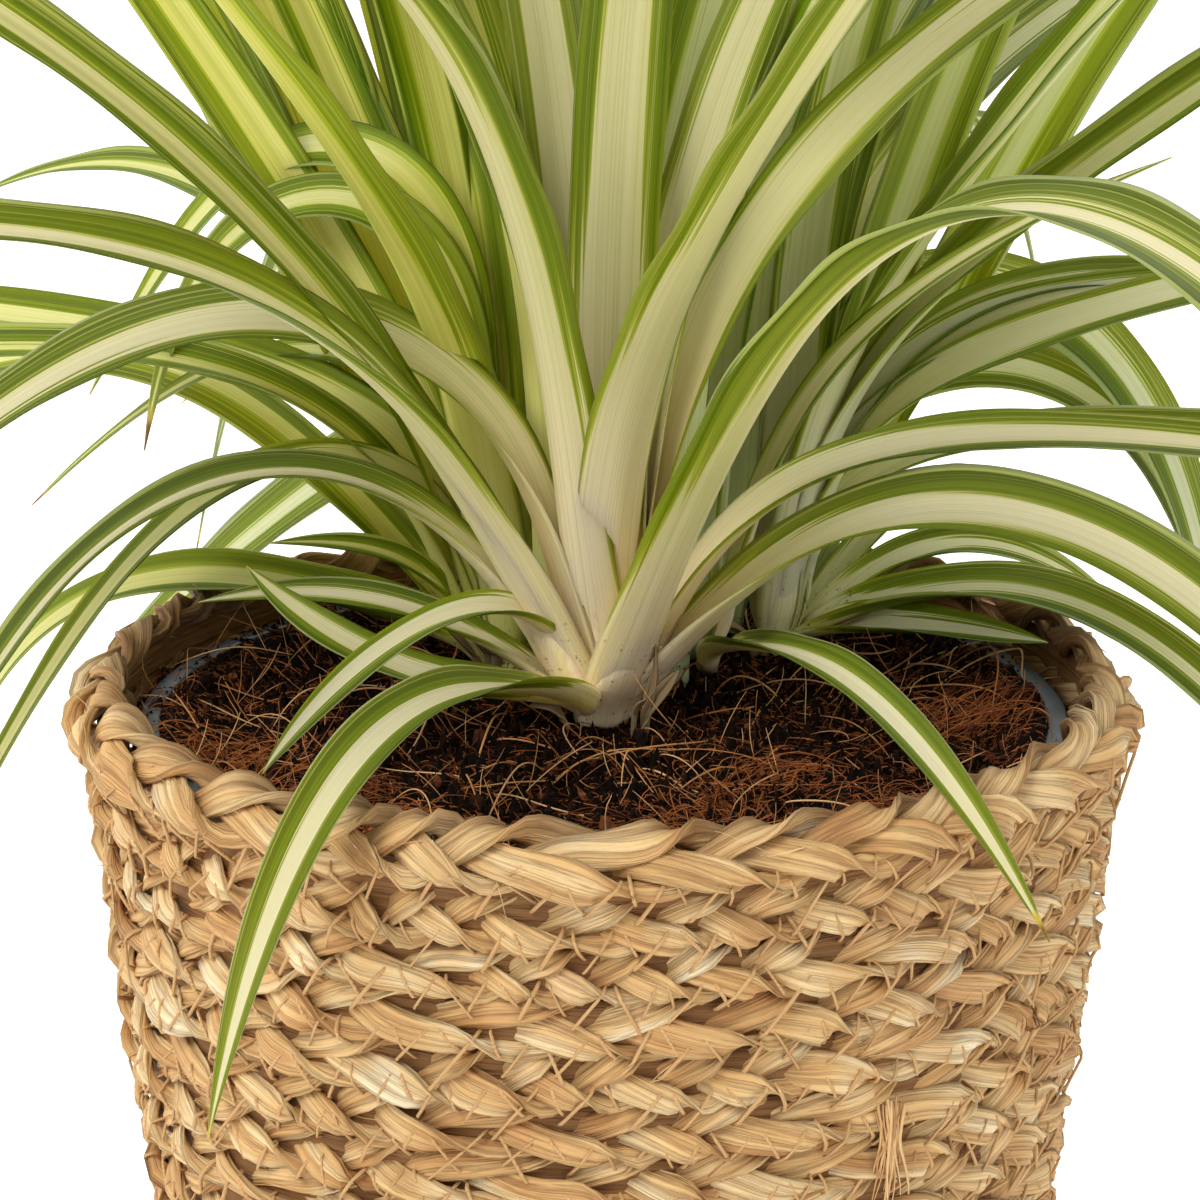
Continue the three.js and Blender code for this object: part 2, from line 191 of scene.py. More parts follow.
# Each leaf: compass heading and lean from upright at its foot, the bend it gathers along its length and the
# share of its length where half of that is reached, length, width, and where they matter the sideways sweep
# and how sharply it kinks (3 is a smooth arch). Degrees and millimetres. 0 heads to +X and 90 to +Y. A few
# leaves, named by their place in the list, counted from 0, turn on themselves by a twist that shows more of
# the upper face, or stand back or forward by a few millimetres, so that they pass their neighbours.
CROWNS = {
    "crown_front": {
        "at": (0, 5),
        "radius": 6,
        "pale": 1.0,
        "leaves": [
            (-133, 8, 100, 0.6, 270, 16), (72, 1, 58, 0.6, 262, 17),
            (113, 6, 72, 0.6, 268, 15), (-68, 4, 46, 0.2, 258, 17, 4),
            (-53, 30, 143, 0.64, 283, 17, -6), (-167, 26, 80, 0.38, 256, 16),
            (18, 9, 66, 0.35, 266, 13), (-16, 43, 118, 0.36, 226, 13),
            (-7, 26, 75, 0.22, 233, 10), (-118, 71, 116, 0.75, 148, 10.5, 6),
            (208, 86, -28, 0.45, 62, 9.5, -72), (177, 60, 60, 0.7, 66, 7, -8),
            (-162, 18, 98, 0.27, 80, 7.5, 44), (179, 11, 140, 0.36, 230, 15, -6),
            (173, 35, 130, 0.33, 208, 10), (-174, 29, 42, 0.48, 266, 14),
            (30, 6, 55, 0.5, 265, 13), (160, 5, 60, 0.5, 260, 13),
        ],
        "twists": {5: 16, 7: 14, 15: -8},
        "back": {5: -5, 13: 8, 14: 6},
    },
    "crown_left": {
        "at": (-17, 31),
        "radius": 6,
        "pale": 0.2,
        # Yellow-green, partly painted light on this crown at the left.
        "lime_and_light": 0.8,
        "leaves": [
            (168, 78, 135, 0.75, 124, 13, -12), (-174, 9, 148, 0.28, 160, 9, -8),
            (158, 10, 81, 0.2, 195, 11, 2), (169, 23, 80, 0.25, 210, 10),
            (147, 0, 140, 0.38, 140, 8), (155, 2, 150, 0.55, 166, 11, 0, 7),
            (170, 1, 176, 0.6, 148, 10, 2, 6), (163, 12, 27, 0.2, 240, 12, -8),
            (-124, 6, 42, 0.23, 250, 16), (141, 5, 29, 0.2, 245, 14),
            (111, 12, 33, 0.2, 252, 11, -3), (118, 0, 46, 0.3, 252, 15),
            (-160, 25, 70, 0.5, 46, 6), (126, 38, 85, 0.5, 204, 11),
            (142, 52, 80, 0.5, 180, 10),
        ],
        "twists": {2: -20, 5: -25, 6: -25, 7: -40, 14: -45},
        "back": {2: 5, 3: -4},
    },
    "crown_right": {
        "at": (29, 43),
        "radius": 6,
        "pale": 0.6,
        "leaves": [
            (64, 4, 95, 0.4, 243, 14), (57, 1, 85, 0.27, 238, 13), (-29, 5, 36, 0.2, 240, 16),
            (-13, 6, 50, 0.2, 242, 13), (16, 9, 88, 0.2, 138, 9), (9, 54, 92, 0.54, 66, 7.5),
            (-25, 69, 84, 0.35, 166, 11), (-35, 81, 8, 0.62, 49, 9), (38, 52, 113, 0.8, 65, 5.5, 13),
            (14, 11, 115, 0.32, 208, 9), (9, 7, 96, 0.24, 220, 9), (-4, 6, 73, 0.2, 195, 10),
            (46, 2, 62, 0.5, 250, 13),
        ],
    },
    "shoot_front": {
        "at": (17, 31),
        "radius": 4,
        "pale": 1.0,
        "leaves": [
            (-78, 73, 96, 0.86, 134, 8.5, 21), (-10, 12, 60, 0.5, 120, 7),
        ],
    },
    "crown_rear": {
        "at": (4, 55),
        "radius": 6,
        "pale": 0.35,
        "leaves": [
            (120, 14, 94, 0.56, 254, 10), (55, 3, 49, 0.33, 246, 9), (35, 11, 80, 0.57, 262, 16),
            (44, 16, 208, 0.68, 192, 9, 9), (125, 15, 157, 0.43, 228, 14), (134, 23, 107, 0.2, 178, 13),
            (24, 27, 162, 0.41, 222, 14), (27, 48, 144, 0.43, 220, 11), (164, 3, 38, 0.5, 260, 16),
            (128, 0, 30, 0.5, 265, 16), (20, 2, 44, 0.5, 262, 17), *rear_fan(),
        ],
        "twists": {3: 40, 4: -45, 5: -50, 6: 45, 7: 40},
    },
}

# Upright leaves in the heart of the clump: where each stands, the leaf, and its own twist.
HEARTS = [
    ((-9, 24), (-150, 1, 34, 0.4, 240, 12), 0), ((-6, 34), (170, 2, 26, 0.4, 236, 13), 0),
    ((13, 24), (-30, 1, 40, 0.4, 236, 12), 0), ((17, 36), (10, 2, 34, 0.4, 232, 12), 0),
    ((-12, 44), (150, 3, 34, 0.5, 230, 12), 0), ((22, 52), (40, 3, 30, 0.5, 230, 12), 0),
    ((-22, 52), (172, 21, 14, 0.5, 245, 15), -50), ((-18, 54), (170, 13, 16, 0.5, 250, 16), 50),
    ((-14, 60), (168, 5, 18, 0.5, 250, 15), -50), ((-20, 62), (177, 17, 14, 0.5, 245, 16), -50),
    ((30, 50), (12, 14, 22, 0.5, 235, 13), 40), ((32, 60), (10, 24, 20, 0.5, 235, 13), 50),
]

chance = np.random.default_rng(20)
uniform, normal, gamma = chance.uniform, chance.normal, chance.gamma


# ---------------------------------------------------------------- camera, floor and light

def aimed(name, data, place, aim):
    """A camera or a lamp in the scene, by its place and what it is aimed at."""
    thing = bpy.data.objects.new(name, data)
    thing.location = place
    thing.rotation_euler = (Vector(aim) - Vector(place)).to_track_quat("-Z", "Y").to_euler()
    bpy.context.scene.collection.objects.link(thing)
    return thing


def set_camera():
    """A long lens, 0.9 m from the rim and 18 degrees above it, aimed a little over the rim."""
    lens = bpy.data.cameras.new("camera")
    lens.sensor_width = 36
    lens.lens = FOCAL_LENGTH
    lens.clip_start = 0.05
    place = (VIEW_X, -VIEW_DISTANCE * math.cos(VIEW_ELEVATION),
             VIEW_CENTRE + VIEW_DISTANCE * math.sin(VIEW_ELEVATION))
    camera = aimed("camera", lens, place, (VIEW_X, 0, VIEW_CENTRE + AIM_OVER_RIM))
    camera.location *= MM
    bpy.context.scene.camera = camera


def area_light(name, place, aim, size, power):
    light = bpy.data.lights.new(name, "AREA")
    light.shape = "DISK"
    light.size = size
    light.energy = power
    aimed(name, light, place, aim)


# ---------------------------------------------------------------- meshes from arrays

def round_turn(count):
    """Even angles round one turn."""
    return TURN * arange(count) / count


def eased(share):
    """0 to 1 by a smooth step: 3 s^2 - 2 s^3."""
    return share ** 2 * (3 - 2 * share)


def unit(vectors):
    return vectors / (np.linalg.norm(vectors, axis=-1, keepdims=True) + 1e-12)


def at_compass(radius, compass, height):
    """Points at a radius, a compass angle and a height."""
    return stack(np.broadcast_arrays(radius * cos(compass), radius * sin(compass), height), -1)


def grain_along(angle, length, apart=0):
    """Where a point lies in the grain of a strand: round it by an angle, and along it by a length."""
    return stack(np.broadcast_arrays(cos(angle) + apart, sin(angle), length), -1)


def give(mesh, key, value):
    """One number for each point of a mesh, or three in the grain, by the name that the materials read."""
    kind, numbers = ("FLOAT_VECTOR", "vector") if key == "grain" else ("FLOAT", "value")
    mesh.attributes.new(key, kind, "POINT").data.foreach_set(numbers, np.ravel(value).astype(np.float32))


def carried(key, value, points):
    """A value carried over all of the points."""
    return np.broadcast_to(value, points.shape if key == "grain" else points.shape[:-1])


def make_mesh(name, points, polygons, finish, smooth=True, **values):
    """A mesh object from points in millimetres and a list of polygon arrays, one per corner count."""
    mesh = bpy.data.meshes.new(name)
    points = np.asarray(points, float)
    corners = concatenate([polygon.ravel() for polygon in polygons]).astype(np.int32)
    counts = concatenate([np.full(len(polygon), polygon.shape[1], np.int32) for polygon in polygons])
    mesh.vertices.add(points.size // 3)
    mesh.vertices.foreach_set("co", points.ravel() * MM)
    mesh.loops.add(len(corners))
    mesh.loops.foreach_set("vertex_index", corners)
    mesh.polygons.add(len(counts))
    mesh.polygons.foreach_set("loop_start", (np.cumsum(counts) - counts).astype(np.int32))
    mesh.polygons.foreach_set("use_smooth", np.full(len(counts), smooth))
    for key, value in values.items():
        give(mesh, key, carried(key, value, points))
    mesh.update()
    mesh.validate()
    mesh.materials.append(finish)
    piece = bpy.data.objects.new(name, mesh)
    bpy.context.scene.collection.objects.link(piece)
    return piece


def gathered(name, parts, finish):
    """Many parts as one object: each is its points, a list of polygon arrays, and its values by name."""
    starts = np.cumsum([0] + [points.size // 3 for points, *_ in parts])
    polygons = [concatenate([part[1][kind] + start for part, start in zip(parts, starts)])
                for kind in range(len(parts[0][1]))]
    piece = make_mesh(name, concatenate([points.reshape(-1, 3) for points, *_ in parts]), polygons, finish)
    for key in parts[0][2]:
        whole = [np.ravel(carried(key, values[key], points)) for points, _, values in parts]
        give(piece.data, key, concatenate(whole))
    return piece


def apply_modifiers(piece):
    """The piece's modifiers, carried out on its own mesh."""
    mesh = bpy.data.meshes.new_from_object(piece.evaluated_get(bpy.context.evaluated_depsgraph_get()))
    piece.modifiers.clear()
    piece.data = mesh


def ring_quads(rings, sides, closed_along=False):
    """Quads between neighbouring rings of one grid: ring by ring, side by side, round each ring."""
    last = rings if closed_along else rings - 1
    ring, side = np.meshgrid(arange(last), arange(sides), indexing="ij")
    ahead, beside = (ring + 1) % rings, (side + 1) % sides
    return stack([ring * sides + side, ring * sides + beside,
                  ahead * sides + beside, ahead * sides + side], -1).reshape(-1, 4)


def many(polygons, copies, stride):
    """The same polygons repeated for each copy, its points numbered stride after the last copy's."""
    return (polygons[None] + stride * arange(copies)[:, None, None]).reshape(-1, polygons.shape[1])


def end_faces(rings, sides):
    """One flat face at each end of a grid of rings."""
    return stack([arange(sides)[::-1], (rings - 1) * sides + arange(sides)])


def fan(hub, ring, flip=False):
    """Triangles from one point to each two neighbours in a ring, all given by their numbers."""
    beside = np.roll(ring, -1)
    return stack([np.full(len(ring), hub), *((beside, ring) if flip else (ring, beside))], -1)


def with_poles(rings, sides):
    """Polygons of a grid of rings closed by two poles, whose points come after the grid's."""
    side = arange(sides)
    return [ring_quads(rings, sides), fan(rings * sides, side, True),
            fan(rings * sides + 1, (rings - 1) * sides + side)]


def tube_piece(name, paths, radii, sides, finish, **values):
    """Tubes round many paths at once, each ring across its path and each end closed by one flat face.

    A ring's point is path + radius * (cos angle * side + sin angle * up), where side is across the path and
    level, and up is across both.
    """
    copies, steps = paths.shape[:2]
    along = unit(np.gradient(paths, axis=1))
    level = np.where(np.abs(along[:, :1, 2:]) > 0.8, [[[1.0, 0.0, 0.0]]], [[[0.0, 0.0, 1.0]]])
    side = unit(np.cross(along, level))
    up = np.cross(side, along)
    angle = round_turn(sides)[:, None]
    ring = cos(angle) * side[:, :, None] + sin(angle) * up[:, :, None]
    stride = steps * sides
    foot = arange(sides)[None]
    polygons = [ring_quads(steps, sides)[:, ::-1], foot, stride - sides + foot[:, ::-1]]
    return make_mesh(name, paths[:, :, None] + radii[:, :, None, None] * ring,
                     [many(polygon, copies, stride) for polygon in polygons], finish, **values)


def smooth_noise(size, waves, share=1.0):
    """Soft random waves round one turn, about -1 to 1: sines of whole counts near waves, random in phase."""
    turn = round_turn(size[-1])
    total = np.zeros(size)
    for count in (waves, int(waves * 1.37) + 1, int(waves * 0.61) + 1, int(waves * 2.1) + 1):
        total = total + sin(count * turn + uniform(0, TURN, size[:-1] + (1,)))
    return share * total / 2.2


# ---------------------------------------------------------------- materials

def linear(red, green, blue):
    """A colour as it is seen on a screen, 0 to 255, as light."""
    seen = np.array([red, green, blue]) / 255
    light = np.where(seen <= 0.04045, seen / 12.92, ((seen + 0.055) / 1.055) ** 2.4)
    return (*light.tolist(), 1.0)


class Finish:
    """A material with one Principled shader, and short calls that add the nodes of its pattern."""

    def __init__(self, name, **sockets):
        self.material = bpy.data.materials.new(name)
        self.material.use_nodes = True
        self.tree = self.material.node_tree
        self.inputs = self.tree.nodes["Principled BSDF"].inputs
        for key, value in sockets.items():
            self.inputs[key.replace("_", " ")].default_value = value

    def put(self, socket, value):
        if isinstance(value, bpy.types.NodeSocket):
            self.tree.links.new(value, socket)
        else:
            socket.default_value = value

    def node(self, kind, settings=None, **inputs):
        node = self.tree.nodes.new("ShaderNode" + kind)
        for key, value in (settings or {}).items():
            setattr(node, key, value)
        for key, value in inputs.items():
            self.put(node.inputs[key.replace("_", " ")], value)
        return node

    def attribute(self, name):
        return self.node("Attribute", {"attribute_name": name}).outputs["Fac"]

    def grain(self):
        return self.node("Attribute", {"attribute_name": "grain"}).outputs["Vector"]

    def place(self):
        coordinates = self.node("TexCoord").outputs["Object"]
        return self.node("Mapping", Vector=coordinates, Scale=(1, 1, 1)).outputs[0]

    def math(self, operation, first, second=0.0, third=0.0, clamp=False):
        node = self.node("Math", {"operation": operation, "use_clamp": clamp})
        for socket, value in zip(node.inputs, (first, second, third)):
            self.put(socket, value)
        return node.outputs[0]

    def plus(self, first, second, clamp=False):
        return self.math("ADD", first, second, clamp=clamp)

    def minus(self, first, second):
        return self.math("SUBTRACT", first, second)

    def times(self, first, second):
        return self.math("MULTIPLY", first, second)

    def scale(self, value, factor, offset=0.0, clamp=False):
        return self.math("MULTIPLY_ADD", value, factor, offset, clamp)

    def join(self, x, y, z=0.0):
        return self.node("CombineXYZ", X=x, Y=y, Z=z).outputs[0]

    def noise(self, vector, scale=1.0, detail=2.0, roughness=0.5):
        return self.node("TexNoise", Vector=vector, Scale=scale, Detail=detail,
                         Roughness=roughness).outputs[0]

    def spots(self, vector, scale):
        return self.node("TexVoronoi", Vector=vector, Scale=scale).outputs[0]

    def step(self, value, low, high, start=0.0, end=1.0):
        """value carried smoothly from low..high to start..end, and held outside."""
        return self.node("MapRange", {"interpolation_type": "SMOOTHSTEP"}, Value=value, From_Min=low,
                         From_Max=high, To_Min=start, To_Max=end).outputs[0]

    def ramp(self, value, *stops):
        """Colours by value: each stop is a place from 0 to 1, and a colour as it is seen."""
        node = self.node("ValToRGB", Fac=value)
        elements = node.color_ramp.elements
        elements.remove(elements[1])
        for number, (position, *seen) in enumerate(stops):
            element = elements.new(position) if number else elements[0]
            element.position, element.color = position, linear(*seen)
        return node.outputs[0]

    def mix(self, share, first, second, blend="MIX"):
        """Two colours mixed by a share: a colour of three numbers is as it is seen, one of four is light."""
        node = self.node("Mix", {"data_type": "RGBA", "blend_type": blend, "clamp_factor": True})
        for number, value in ((0, share), (6, first), (7, second)):
            seen = isinstance(value, tuple) and len(value) == 3
            self.put(node.inputs[number], linear(*value) if seen else value)
        return node.outputs[2]

    def done(self, colour, rough, height=None, strength=0.0, distance=0.0):
        """The material, with its base colour, its roughness, and a bump of some height in it."""
        self.put(self.inputs["Base Color"], colour)
        self.put(self.inputs["Roughness"], rough)
        if height:
            bump = self.node("Bump", Strength=strength, Distance=distance, Height=height)
            self.put(self.inputs["Normal"], bump.outputs[0])
        return self.material


def seagrass_finish(name):
    """Dry grass: straw to tan by strip, with fine lines and dark splits that run along each strip."""
    look = Finish(name, IOR=1.45, Specular_IOR_Level=0.3)
    stretched = look.node("Mapping", Vector=look.grain(), Scale=(5, 5, 0.055)).outputs[0]
    fine = look.noise(stretched, 2.2, 4, 0.65)
    broad = look.noise(stretched, 0.7, 2)
    splits = look.math("ABSOLUTE", look.minus(look.noise(stretched, 0.5, 3, 0.6), 0.5))
    patches = look.noise(look.place(), 70, 3)
    tone = look.plus(look.attribute("tone"), look.scale(broad, 0.5, -0.25))
    tone = look.scale(patches, 0.24, look.plus(tone, -0.12), clamp=True)
    straw = look.ramp(tone, (0.0, 190, 136, 82), (0.25, 214, 165, 106), (0.45, 229, 185, 123),
                      (0.62, 238, 201, 142), (0.8, 245, 214, 160), (1.0, 251, 232, 190))
    blush = look.step(look.noise(look.place(), 38, 2), 0.54, 0.74, 0.0, 0.25)
    tinted = look.mix(blush, straw, (198, 142, 102))
    lines = look.step(fine, 0.34, 0.5)
    lined = look.mix(look.scale(lines, -0.26, 0.26), tinted, (168, 110, 60))
    split = look.mix(look.step(splits, 0.01, 0.04, 0.42, 0.0), lined, (112, 68, 32))
    # Painted shade: darker in the grooves between strips and where the plait sinks into the wall.
    deep = look.mix(look.times(look.attribute("crevice"), 0.75), split, (98, 56, 26))
    rough = look.scale(fine, 0.3, 0.45)
    return look.done(deep, rough, look.scale(look.step(splits, 0.0, 0.09), 0.7, fine), 0.6, 0.0007)


def twine_finish():
    """Thin twisted jute twine: pale tan with slanted dark lines of its twist."""
    look = Finish("twine", Specular_IOR_Level=0.25)
    twist = look.node("TexWave", {"bands_direction": "DIAGONAL"}, Vector=look.grain(), Scale=0.9,
                      Distortion=1.5, Detail=2.0).outputs[1]
    body = look.mix(look.noise(look.place(), 160, 2), (198, 152, 98), (224, 186, 132))
    lined = look.mix(look.times(twist, 0.35), body, (150, 104, 62))
    return look.done(lined, 0.8, twist, 0.4, 0.0002)


def plastic_finish():
    """Satin slate-grey moulded plastic, a little dusty and faintly pitted."""
    look = Finish("pot_plastic", Specular_IOR_Level=0.5)
    dust = look.noise(look.place(), 90, 4, 0.6)
    grey = look.mix(look.step(dust, 0.45, 0.75), (70, 78, 84), (104, 108, 106))
    return look.done(grey, look.scale(dust, 0.3, 0.28), look.noise(look.place(), 1400, 2), 0.12, 0.0002)


def mix_finish():
    """Moist coconut coir, with painted shade and light: nearly black in the hollows, red-brown on the crests.
    """
    look = Finish("coir_mix", Specular_IOR_Level=0.08)
    lumps = look.noise(look.place(), 260, 5, 0.7)
    grit = look.noise(look.place(), 1500, 3, 0.6)
    value = look.scale(grit, 0.35, look.times(lumps, 0.75))
    # Painted shade in the hollows and painted light on the crests of the ground.
    value = look.scale(look.minus(look.attribute("crest"), 0.5), 0.5, value, clamp=True)
    brown = look.ramp(value, (0.3, 14, 7, 3), (0.5, 44, 22, 10), (0.65, 88, 46, 22), (0.85, 136, 78, 40))
    return look.done(brown, look.scale(grit, 0.3, 0.65), value, 0.9, 0.0012)


def fibre_finish(name, dark, middle, light, rough=0.65):
    """Thin fibres and crumbs: a colour for each one from its tone, broken by small blotches."""
    look = Finish(name, Specular_IOR_Level=0.15)
    blotch = look.noise(look.place(), 420, 3)
    tone = look.plus(look.attribute("tone"), look.scale(blotch, 0.5, -0.25), clamp=True)
    return look.done(look.ramp(tone, (0.0, *dark), (0.5, *middle), (1.0, *light)), rough, blotch, 0.3, 0.0003)


def leaf_finish():
    """A ribbon leaf: pale middle stripe, yellow-green lines, green bands, darker margins, a thin pale edge.

    The colour goes by how far past the stripe's edge a point lies, as a share of the half width, broken by
    long streaks. The stripe is as wide as the leaf at the foot and narrows along it, as its own attribute
    says. Fine darker and paler lines run along the whole blade. The foot is cream, or greenish on the crowns
    behind the front one, whose leaves are also tinted bluer as painted cool shade, much less on the left.
    The left crown and the hearts on the left are made yellower and brighter: partly their own colour, partly
    painted light from the left. Two sets of greens are mixed by a value that grows with tilt: yellowish ones
    on upright leaves, partly painted backlight, and deeper ones with a whiter stripe on arching leaves.
    """
    look = Finish("leaf", Specular_IOR_Level=0.22, IOR=1.42, Subsurface_Weight=0.32, Subsurface_Scale=0.003,
                  Subsurface_Radius=(1.0, 0.9, 0.3))
    across = look.attribute("across")
    along = look.attribute("along")
    seed = look.attribute("seed")
    lime_and_light = look.attribute("lime_and_light")
    from_rib = look.math("ABSOLUTE", look.plus(across, look.scale(seed, 0.36, -0.18)))
    lane = look.scale(seed, 37.0, across)

    def lines(count, rate, detail, offset):
        place = look.join(look.times(lane, count), look.times(along, rate), offset)
        return look.noise(place, 1.0, detail, 0.6)

    streaks = lines(8.0, 0.004, 5, seed)
    veins = lines(24.0, 0.003, 2, seed)
    threads = lines(13.0, 0.003, 3, 3.0)
    washes = lines(2.3, 0.004, 3, 7.0)
    streak = look.minus(streaks, 0.5)
    past = look.minus(from_rib, look.attribute("stripe"))
    band = look.math("DIVIDE", look.scale(streak, 1.0, past), 0.66, clamp=True)
    # Upright greens: yellower, partly the leaf's own colour, partly painted backlight.
    upright = look.ramp(band, (0.0, 202, 195, 132), (0.05, 188, 187, 92), (0.1, 154, 162, 44),
                        (0.16, 168, 174, 66), (0.22, 116, 132, 10), (0.5, 94, 115, 2), (0.82, 70, 94, 2),
                        (0.94, 54, 77, 4), (1.0, 142, 150, 64))
    arching = look.ramp(band, (0.0, 212, 203, 166), (0.04, 196, 191, 130), (0.08, 138, 146, 48),
                        (0.14, 112, 126, 24), (0.3, 98, 114, 16), (0.6, 82, 99, 10), (0.92, 60, 78, 12),
                        (1.0, 138, 148, 86))
    washed = look.mix(look.step(washes, 0.46, 0.62, 0.0, 0.45), upright, (166, 170, 66))
    grown = look.mix(look.attribute("shade"), washed, arching)
    young = look.ramp(band, (0.0, 220, 210, 154), (0.06, 204, 199, 112), (0.14, 172, 176, 62),
                      (0.4, 136, 147, 24), (0.9, 102, 117, 8), (1.0, 158, 163, 76))
    ripe = look.attribute("ripe")
    greens = look.mix(ripe, young, grown)
    margin = look.step(from_rib, 0.5, 1.0)
    cream = look.mix(margin, (255, 232, 190), (246, 225, 166))
    greenish = look.mix(margin, (204, 210, 158), (168, 182, 100))
    cool = look.attribute("cool")
    foot = look.mix(cool, cream, greenish)
    in_stripe = look.step(band, 0.0, 0.1, 1.0, 0.0)
    still_pale = look.times(in_stripe, look.step(ripe, 0.1, 1.0, 1.0, 0.0))
    pale = look.mix(still_pale, greens, foot)
    # Painted cool shade: leaves of the crowns behind the front one tinted bluer, much less on the left.
    cool_only = look.times(cool, look.minus(1.0, lime_and_light))
    cooled = look.mix(cool_only, pale, COOL_SHADE_TINT, "MULTIPLY")
    # Left crown and left hearts yellowed and brightened: partly their own colour, partly painted light from
    # the left.
    body = look.mix(lime_and_light, cooled, LIME_AND_LIGHT_TINT, "MULTIPLY")
    contrast = look.step(band, 0.0, 0.15, 0.36, 0.6)
    dark_line = look.times(look.step(veins, 0.34, 0.5, 1.0, 0.0), contrast)
    dark = look.mix(dark_line, body, VEIN_TINT, "MULTIPLY")
    light = look.mix(look.step(threads, 0.56, 0.64, 0.0, 0.36), dark, (188, 188, 108))
    uneven = look.scale(look.noise(look.place(), 260, 3), 0.9, look.spots(look.place(), 620))
    specks = look.step(uneven, 0.48, 0.54, 1.0, 0.0)
    stains = look.step(look.noise(look.place(), 600, 4, 0.75), 0.6, 0.68)
    dirt = look.times(look.math("MAXIMUM", specks, stains), look.step(along, 3, 22, 0.95, 0.0))
    dirty = look.mix(dirt, light, (92, 52, 30))
    dry = look.attribute("dry")
    fading = look.mix(look.step(dry, 0.0, 0.5), dirty, (186, 160, 70))
    colour = look.mix(look.step(dry, 0.5, 1.0), fading, (104, 62, 30))
    return look.done(colour, look.scale(streaks, 0.16, 0.38), veins, 0.45, 0.0003)


def paper_finish():
    """A dried papery sheath: greyish brown and dull, with darker veins."""
    look = Finish("dry_sheath", Specular_IOR_Level=0.2, Subsurface_Weight=0.1, Subsurface_Scale=0.002)
    veins = look.noise(look.join(look.times(look.attribute("across"), 9.0),
                                 look.times(look.attribute("along"), 0.05)), 1.0, 4)
    blotch = look.noise(look.place(), 500, 3)
    brown = look.mix(blotch, look.mix(veins, (100, 76, 50), (190, 168, 130)), (150, 124, 88))
    return look.done(brown, 0.8, veins, 0.5, 0.0004)


def floor_finish():
    """Matt near-white paper, lit from within by as much as makes it the photograph's white."""
    look = Finish("studio_paper", Specular_IOR_Level=0.0, Emission_Color=(1, 1, 1, 1), Emission_Strength=0.42)
    grain = look.noise(look.place(), 400, 3)
    return look.done(look.mix(grain, (0.93, 0.93, 0.93, 1), (0.96, 0.96, 0.96, 1)), 0.9)


# ---------------------------------------------------------------- basket

def basket_radius(height):
    """Outer radius at a height: the rim's, less a slope, less a cube of the depth that tucks the foot in."""
    depth = (BASKET_HEIGHT - height) / BASKET_HEIGHT
    return RIM_RADIUS - WALL_SLOPE * (BASKET_HEIGHT - height) - FOOT_TUCK * depth ** 3


def woven(phase, roll=PLAIT_ROLL):
    """Where each strand of a flat plait lies, and how it turns, by its phase.

    Its middle lies reach * sin p across the plait and lift * sin 2p through it, and the plait is rolled
    about its length so that the lower edge stands proud. The flat strand turns over at each edge: its long
    side lies at -90 + 100 * tanh(k cos p) / tanh k degrees, so it stays flat between the edges.
    """
    over = np.tanh(FOLD_SHARPNESS * cos(phase)) / math.tanh(FOLD_SHARPNESS)
    across = PLAIT_REACH * sin(phase)
    through = PLAIT_LIFT * sin(2 * phase)
    lie = math.radians(100) * over - math.pi / 2 - roll
    up = across * math.cos(roll) + through * math.sin(roll)
    out = through * math.cos(roll) - across * math.sin(roll)
    return up, out, lie


def laid_flat(phase):
    return woven(phase, 0)


def tilted(phase):
    return woven(phase, RIM_ROLL)


